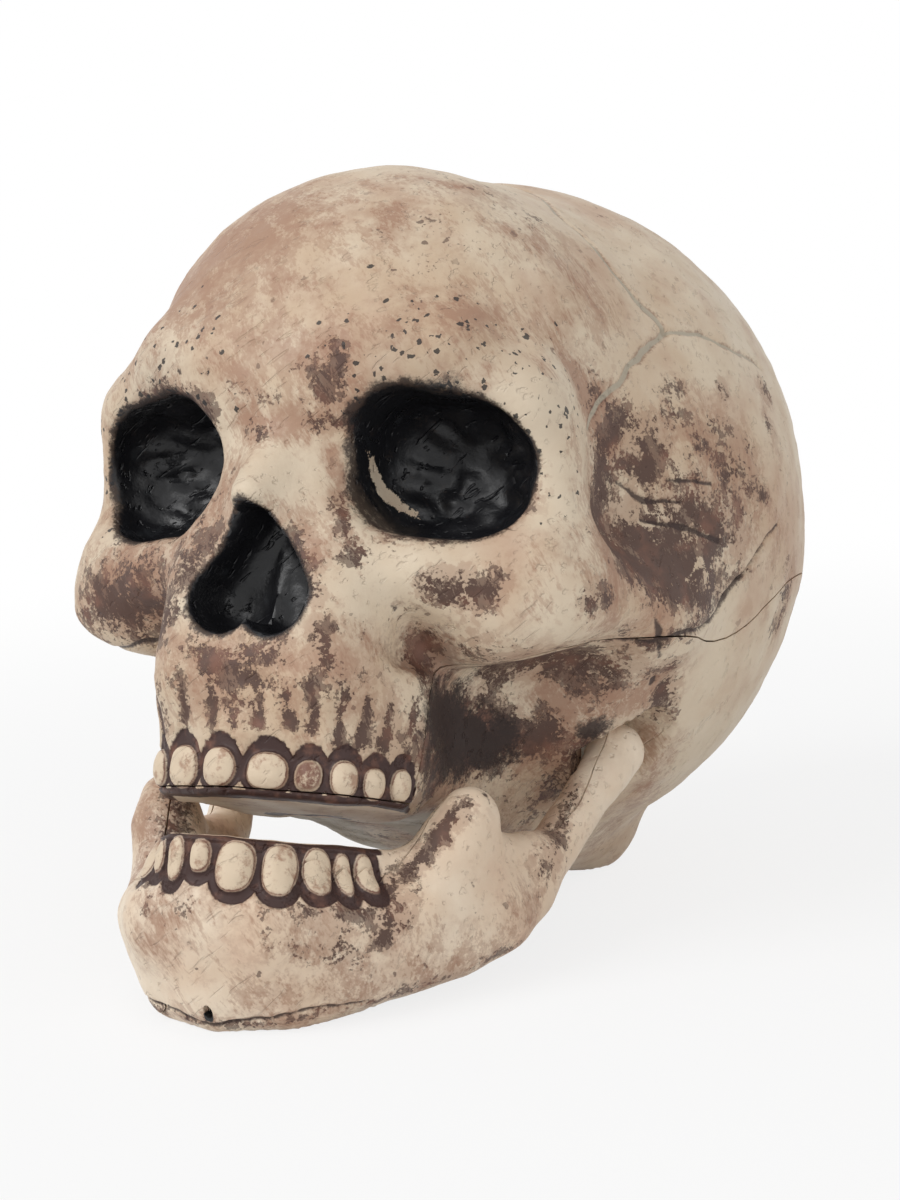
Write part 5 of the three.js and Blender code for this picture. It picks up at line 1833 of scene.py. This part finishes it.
def cranium_texture(points: Array) -> Array:
    """Returns the hand-worked unevenness of the cranium in millimetres."""
    wide = 0.3 * Waves(seed=21, scale=13).at(points) + 0.2 * Waves(seed=22, scale=38).at(points)
    wide += 0.09 * Waves(seed=24, scale=95).at(points)
    mirrored = folded(points)
    socket = np.hypot(mirrored[:, 0] - 0.38, mirrored[:, 2] - 0.17)
    floor = fade(socket, 0.2, 0.15) * fade(points[:, 1], -0.76, -0.68)
    bent = points * np.array((0.5, 0.2, 1.2), np.float32) + 0.02 * Waves(seed=25, scale=20).at(points)[:, None]
    swirl = np.abs(Waves(seed=23, scale=70, count=6).at(bent))
    return wide * (1 - floor) + 1.8 * floor * swirl


def jaw_texture(points: Array) -> Array:
    """Returns the hand-worked unevenness of the jaw in millimetres."""
    wide = 0.25 * Waves(seed=31, scale=15).at(points) + 0.18 * Waves(seed=32, scale=40).at(points)
    return wide + 0.08 * Waves(seed=33, scale=95).at(points)


def painted(distance: Distance, marks: tuple[Mark | Filling, ...], row: ToothRow, texture: Distance) -> Surface:
    """Returns a surface whose marks lie on it.

    Args:
        distance: The distance to the plain surface.
        marks: The marks near it.
        row: Its row of teeth.
        texture: Its unevenness in millimetres.
    """
    return Surface(distance, tuple(mark.laid(distance) for mark in marks), row, texture)


CRANIUM = painted(cranium_distance, CRANIUM_MARKS, UPPER_ROW, cranium_texture)
JAW = painted(jaw_distance, JAW_MARKS, LOWER_ROW, jaw_texture)


@dataclass(frozen=True, kw_only=True)
class Moulding:
    """A hollow moulding that is parted into shells."""

    name: str
    surface: Surface
    solid: Distance
    cavity: Distance
    net: SurfaceNet
    cavity_cell: float = 0.04
    sharp_deg: float = 38

    def hollowed(self) -> Piece:
        """Returns the moulding with its relief and its hollow, before it is parted."""
        piece = mesh_object(self.name, *self.net.mesh(self.solid))
        for _ in range(2 if FINE else 1):
            refine(piece.data, self.surface.fine_zone)
        points = settled_on(self.solid, places_of(piece.data), self.net.cell / 2)
        flat = (STANCE.height(points) < FLAT_ZONE)[:, None]
        near_pivot = np.hypot(points[:, 1], points[:, 2] - STANCE.pivot_height) < PIVOT.pad_radius + 0.01
        fixed = flat | (near_pivot & (np.abs(points[:, 0]) < PIVOT_ZONE))[:, None]
        shift = directions(self.solid, points) * self.surface.relief(points)[:, None]
        place(piece.data, points + np.where(fixed, 0, shift))
        hollow = SurfaceNet(low=self.net.low, high=self.net.high, cell=self.cavity_cell)
        carve(piece, mesh_object("hollow", *hollow.mesh(self.cavity)), Carving.CUT)
        LOG.info("%s: %d faces", self.name, len(piece.data.polygons))
        return piece

    def dress(self, piece: Piece, finish: Material) -> None:
        """Gives a shell its paint masks, its finish and its shading.

        Args:
            piece: The shell.
            finish: The material.
        """
        points = places_of(piece.data)
        outside = self.solid(points) > -PAINTED_DEPTH
        masks = self.surface.masks(points)
        for layer, mask in masks.items():
            attribute = piece.data.attributes.new(layer.value, "FLOAT", "POINT")
            attribute.data.foreach_set("value", np.where(outside, mask, 0).astype(np.float32))
        piece.data.materials.clear()
        piece.data.materials.append(finish)
        smooth(piece, self.sharp_deg)


def rounded(line: list[tuple[float, float]]) -> list[tuple[float, float]]:
    """Returns an open line with its corners cut twice, so that it bends smoothly."""
    for _ in range(2):
        cut = [line[0]]
        for (x, y), (u, v) in zip(line[:-1], line[1:]):
            cut += [(0.8 * x + 0.2 * u, 0.8 * y + 0.2 * v), (0.2 * x + 0.8 * u, 0.2 * y + 0.8 * v)]
        line = cut + [line[-1]]
    return line


def copied(piece: Piece, name: str) -> Piece:
    """Returns a linked copy of an object with its own mesh."""
    mesh = piece.data.copy()
    mesh.name = name
    return new_object(name, mesh)


@dataclass(frozen=True)
class Cranium:
    """The cranium: the face and vault shell above the parting line, and the base shell below it."""

    seam: tuple[tuple[float, float], ...] = (
        (-0.66, -0.6), (-0.64, -0.33), (-0.55, -0.22), (-0.2, -0.13),
        (0.05, -0.12), (0.2, 0.0), (0.35, 0.1), (0.6, 0.16),
    )
    moulding: Moulding = Moulding(
        name="cranium",
        surface=CRANIUM,
        solid=cranium_solid,
        cavity=cranium_cavity,
        net=SurfaceNet(low=(-0.96, -1.14, -0.82), high=(0.96, 1.2, 1.24), cell=0.0155 if FINE else 0.03),
    )

    def above_seam(self, side: int) -> Piece:
        """Returns the space above (1) or below (-1) the parting line, less half the gap."""
        shift = side * SEAM_GAP / 2
        line = rounded([(y - shift, z + shift) for y, z in self.seam])
        outline = [(-FAR, line[0][1]), *line, (FAR, line[-1][1]), (FAR, side * FAR), (-FAR, side * FAR)]
        return prism(outline, lambda y, z, end: (FAR / 2 * end, y, z))

    def build(self, effects: Effects) -> None:
        """Builds and dresses both shells.

        Args:
            effects: The shared shader groups.
        """
        finish = AgedBone("aged bone").material(effects)
        body = self.moulding.hollowed()
        carve(body, bars([(-1.0, 1.0)], PIVOT.bore_radius), Carving.CUT)
        for name, side in (("face_and_vault_shell", 1), ("skull_base_shell", -1)):
            shell = copied(body, f"{name}_visual")
            carve(shell, self.above_seam(side), Carving.KEEP)
            self.moulding.dress(shell, finish)
            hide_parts(name)
            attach(shell, "cranium")
            LOG.info("%s: %d faces", shell.name, len(shell.data.polygons))
        discard(body)


@dataclass(frozen=True)
class LowerJaw:
    """The lower jaw: an outer shell with the teeth and an inner shell with the pivot bosses."""

    seam_front: float = -0.99
    seam: tuple[tuple[float, float], ...] = (
        (0.12, -0.97), (0.22, -0.88), (0.29, -0.76), (0.36, -0.6),
        (0.43, -0.4), (0.49, -0.2), (0.53, -0.12), (0.53, 0.2),
    )
    seam_lean: float = 0.2
    seam_level: float = -0.8
    hole_place: Place = (0.01, -0.95, -1.109)
    hole_radii: tuple[float, float] = (1.0 * MILLIMETRE, 1.6 * MILLIMETRE)
    moulding: Moulding = Moulding(
        name="jaw",
        surface=JAW,
        solid=jaw_solid,
        cavity=jaw_cavity,
        net=SurfaceNet(low=(-0.7, -1.2, -1.3), high=(0.7, 0.16, -0.26), cell=0.013 if FINE else 0.026),
    )

    def within_seam(self, offset: float) -> Piece:
        """Returns the space behind the parting sheet, drawn in or out by an offset."""
        half = rounded([(x + offset, y - offset) for x, y in self.seam])
        outline = [(-x, y) for x, y in reversed(half)] + [(0.0, self.seam_front - offset)] + half

        def placed(x: float, y: float, end: float) -> Place:
            """Returns a corner of the leaning sheet."""
            rise = FAR / 2 * end
            return (x, y - self.seam_lean * rise, self.seam_level + rise)

        return prism(outline, placed)

    def chin_hole(self) -> Piece:
        """Returns the small hole that the moulding needle left below the chin."""
        x, y, z = self.hole_place
        wide, tall = self.hole_radii
        angles = [math.radians(15 * step) for step in range(24)]
        outline = [(wide * math.cos(angle), tall * math.sin(angle)) for angle in angles]
        lean = math.radians(-35)

        def placed(across: float, along: float, end: float) -> Place:
            """Returns a corner of the leaning hole."""
            depth = 0.1 * end
            y_shift = along * math.cos(lean) - depth * math.sin(lean)
            return (x + across, y + y_shift, z + along * math.sin(lean) + depth * math.cos(lean))

        return prism(outline, placed)

    def build(self, effects: Effects) -> None:
        """Builds and dresses both shells.

        Args:
            effects: The shared shader groups.
        """
        finish = AgedBone(
            "aged bone, jaw", ivory="#f3e3cd", tan="#e2cab0", blush="#d9b69f",
            flecks=0.2, general_stain=0.12, general_wash=0.12,
        ).material(effects)
        body = self.moulding.hollowed()
        carve(body, self.chin_hole(), Carving.CUT)
        for name, offset, how in (
            ("jaw_outer_shell", SEAM_GAP / 2, Carving.CUT),
            ("jaw_inner_shell", -SEAM_GAP / 2, Carving.KEEP),
        ):
            shell = copied(body, f"{name}_visual")
            carve(shell, self.within_seam(offset), how)
            if how is Carving.KEEP:
                carve(shell, bars([(-1.0, 1.0)], PIVOT.bore_radius), Carving.CUT)
                start, radius = PIVOT.head_pocket
                carve(shell, bars([(start, 1.0), (-1.0, -start)], radius), Carving.CUT)
            self.moulding.dress(shell, finish)
            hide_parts(name)
            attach(shell, "jaw")
            LOG.info("%s: %d faces", shell.name, len(shell.data.polygons))
        discard(body)


# Stage


@dataclass(frozen=True)
class Studio:
    """The floor, the soft lights and the camera."""

    azimuth_deg: float = 28.5
    elevation_deg: float = 8.0
    roll_deg: float = -3.9
    distance: float = 0.63
    shift: tuple[float, float] = (0.001737, -0.00189)
    focal_px: float = 2694.0

    def floor(self) -> None:
        """Makes the pale floor, which shows white and keeps part of the object's shadow."""
        mesh = bpy.data.meshes.new("floor")
        mesh.from_pydata([(-4, -4, 0), (4, -4, 0), (4, 4, 0), (-4, 4, 0)], [], [(0, 1, 2, 3)])
        floor = new_object("floor", mesh)
        brush = Brush("floor")
        brush.shader.inputs["Base Color"].default_value = (0.85, 0.85, 0.85, 1)
        brush.shader.inputs["Roughness"].default_value = 0.9
        white = brush.node("ShaderNodeEmission", {"Color": (1, 1, 1, 1), "Strength": 1.0})
        reach = brush.node("ShaderNodeVectorMath", {0: brush.place}, operation="LENGTH").outputs["Value"]
        share = brush.times(self.seen_directly(brush), brush.span(reach, 0.15, 0.7, 0.8, 1.0))
        mixed = brush.node("ShaderNodeMixShader", {0: share, 1: brush.shader.outputs[0], 2: white.outputs[0]})
        brush.feed(brush.tree.nodes["Material Output"].inputs["Surface"], mixed.outputs[0])
        mesh.materials.append(brush.material)

    @staticmethod
    def seen_directly(desk: Desk) -> Socket:
        """Returns 1 for rays from the camera, also by way of shiny or clear things, and 0 for other rays."""
        rays = desk.node("ShaderNodeLightPath").outputs
        seen = desk.math("MAXIMUM", rays["Is Camera Ray"], rays["Is Glossy Ray"])
        return desk.math("MAXIMUM", seen, rays["Is Transmission Ray"])

    def world(self) -> None:
        """Makes the white background and its soft light."""
        world = bpy.data.worlds.new("studio")
        bpy.context.scene.world = world
        world.use_nodes = True
        desk = Desk(world.node_tree)
        background = world.node_tree.nodes["Background"]
        background.inputs["Color"].default_value = (1, 1, 1, 1)
        desk.feed(background.inputs["Strength"], desk.span(self.seen_directly(desk), 0.0, 1.0, 0.5, 1.0))

    def lamp(self, name: str, place: Place, size: float, watts: float) -> None:
        """Makes a soft lamp that faces the skull.

        Args:
            name: The lamp's name.
            place: Where it hangs, in metres.
            size: The side of its square face.
            watts: Its power.
        """
        light = bpy.data.lights.new(name, "AREA")
        light.size = size
        light.energy = watts
        lamp = new_object(name, light)
        lamp.location = place
        towards = Vector((0, 0, 0.09)) - Vector(place)
        lamp.rotation_euler = towards.to_track_quat("-Z", "Y").to_euler()

    def camera(self) -> None:
        """Makes the camera where the photograph was taken from."""
        azimuth, elevation = math.radians(self.azimuth_deg), math.radians(self.elevation_deg)
        roll = math.radians(self.roll_deg)
        back = Vector(
            (math.sin(azimuth) * math.cos(elevation), -math.cos(azimuth) * math.cos(elevation), math.sin(elevation))
        )
        level = Vector((math.cos(azimuth), math.sin(azimuth), 0))
        upright = level.cross(-back)
        across = math.cos(roll) * level + math.sin(roll) * upright
        up = -math.sin(roll) * level + math.cos(roll) * upright
        origin = STANCE.matrix().translation
        place = origin + self.distance * back + self.shift[0] * across + self.shift[1] * up
        data = bpy.data.cameras.new("camera")
        data.sensor_fit = "VERTICAL"
        data.sensor_height = 36.0
        data.sensor_width = 36.0
        data.lens = self.focal_px / 1200 * 36
        data.clip_start = 0.01
        camera = new_object("camera", data)
        rotation = Matrix((across, up, back)).transposed().to_4x4()
        camera.matrix_world = Matrix.Translation(place) @ rotation
        bpy.context.scene.camera = camera

    def build(self) -> None:
        """Builds the whole stage."""
        self.camera()
        self.floor()
        self.world()
        self.lamp("key", (-0.7, -1.1, 1.3), 1.0, 14.0)
        self.lamp("fill", (1.3, -0.8, 0.7), 1.2, 4.0)
        bpy.context.scene.view_settings.view_transform = "Standard"


def main() -> None:
    """Builds the stage, the skull, its jaw and its pivots."""
    Studio().build()
    effects = Effects()
    Cranium().build(effects)
    LowerJaw().build(effects)
    PivotHardware().build(effects)


if __name__ == "__main__":
    main()
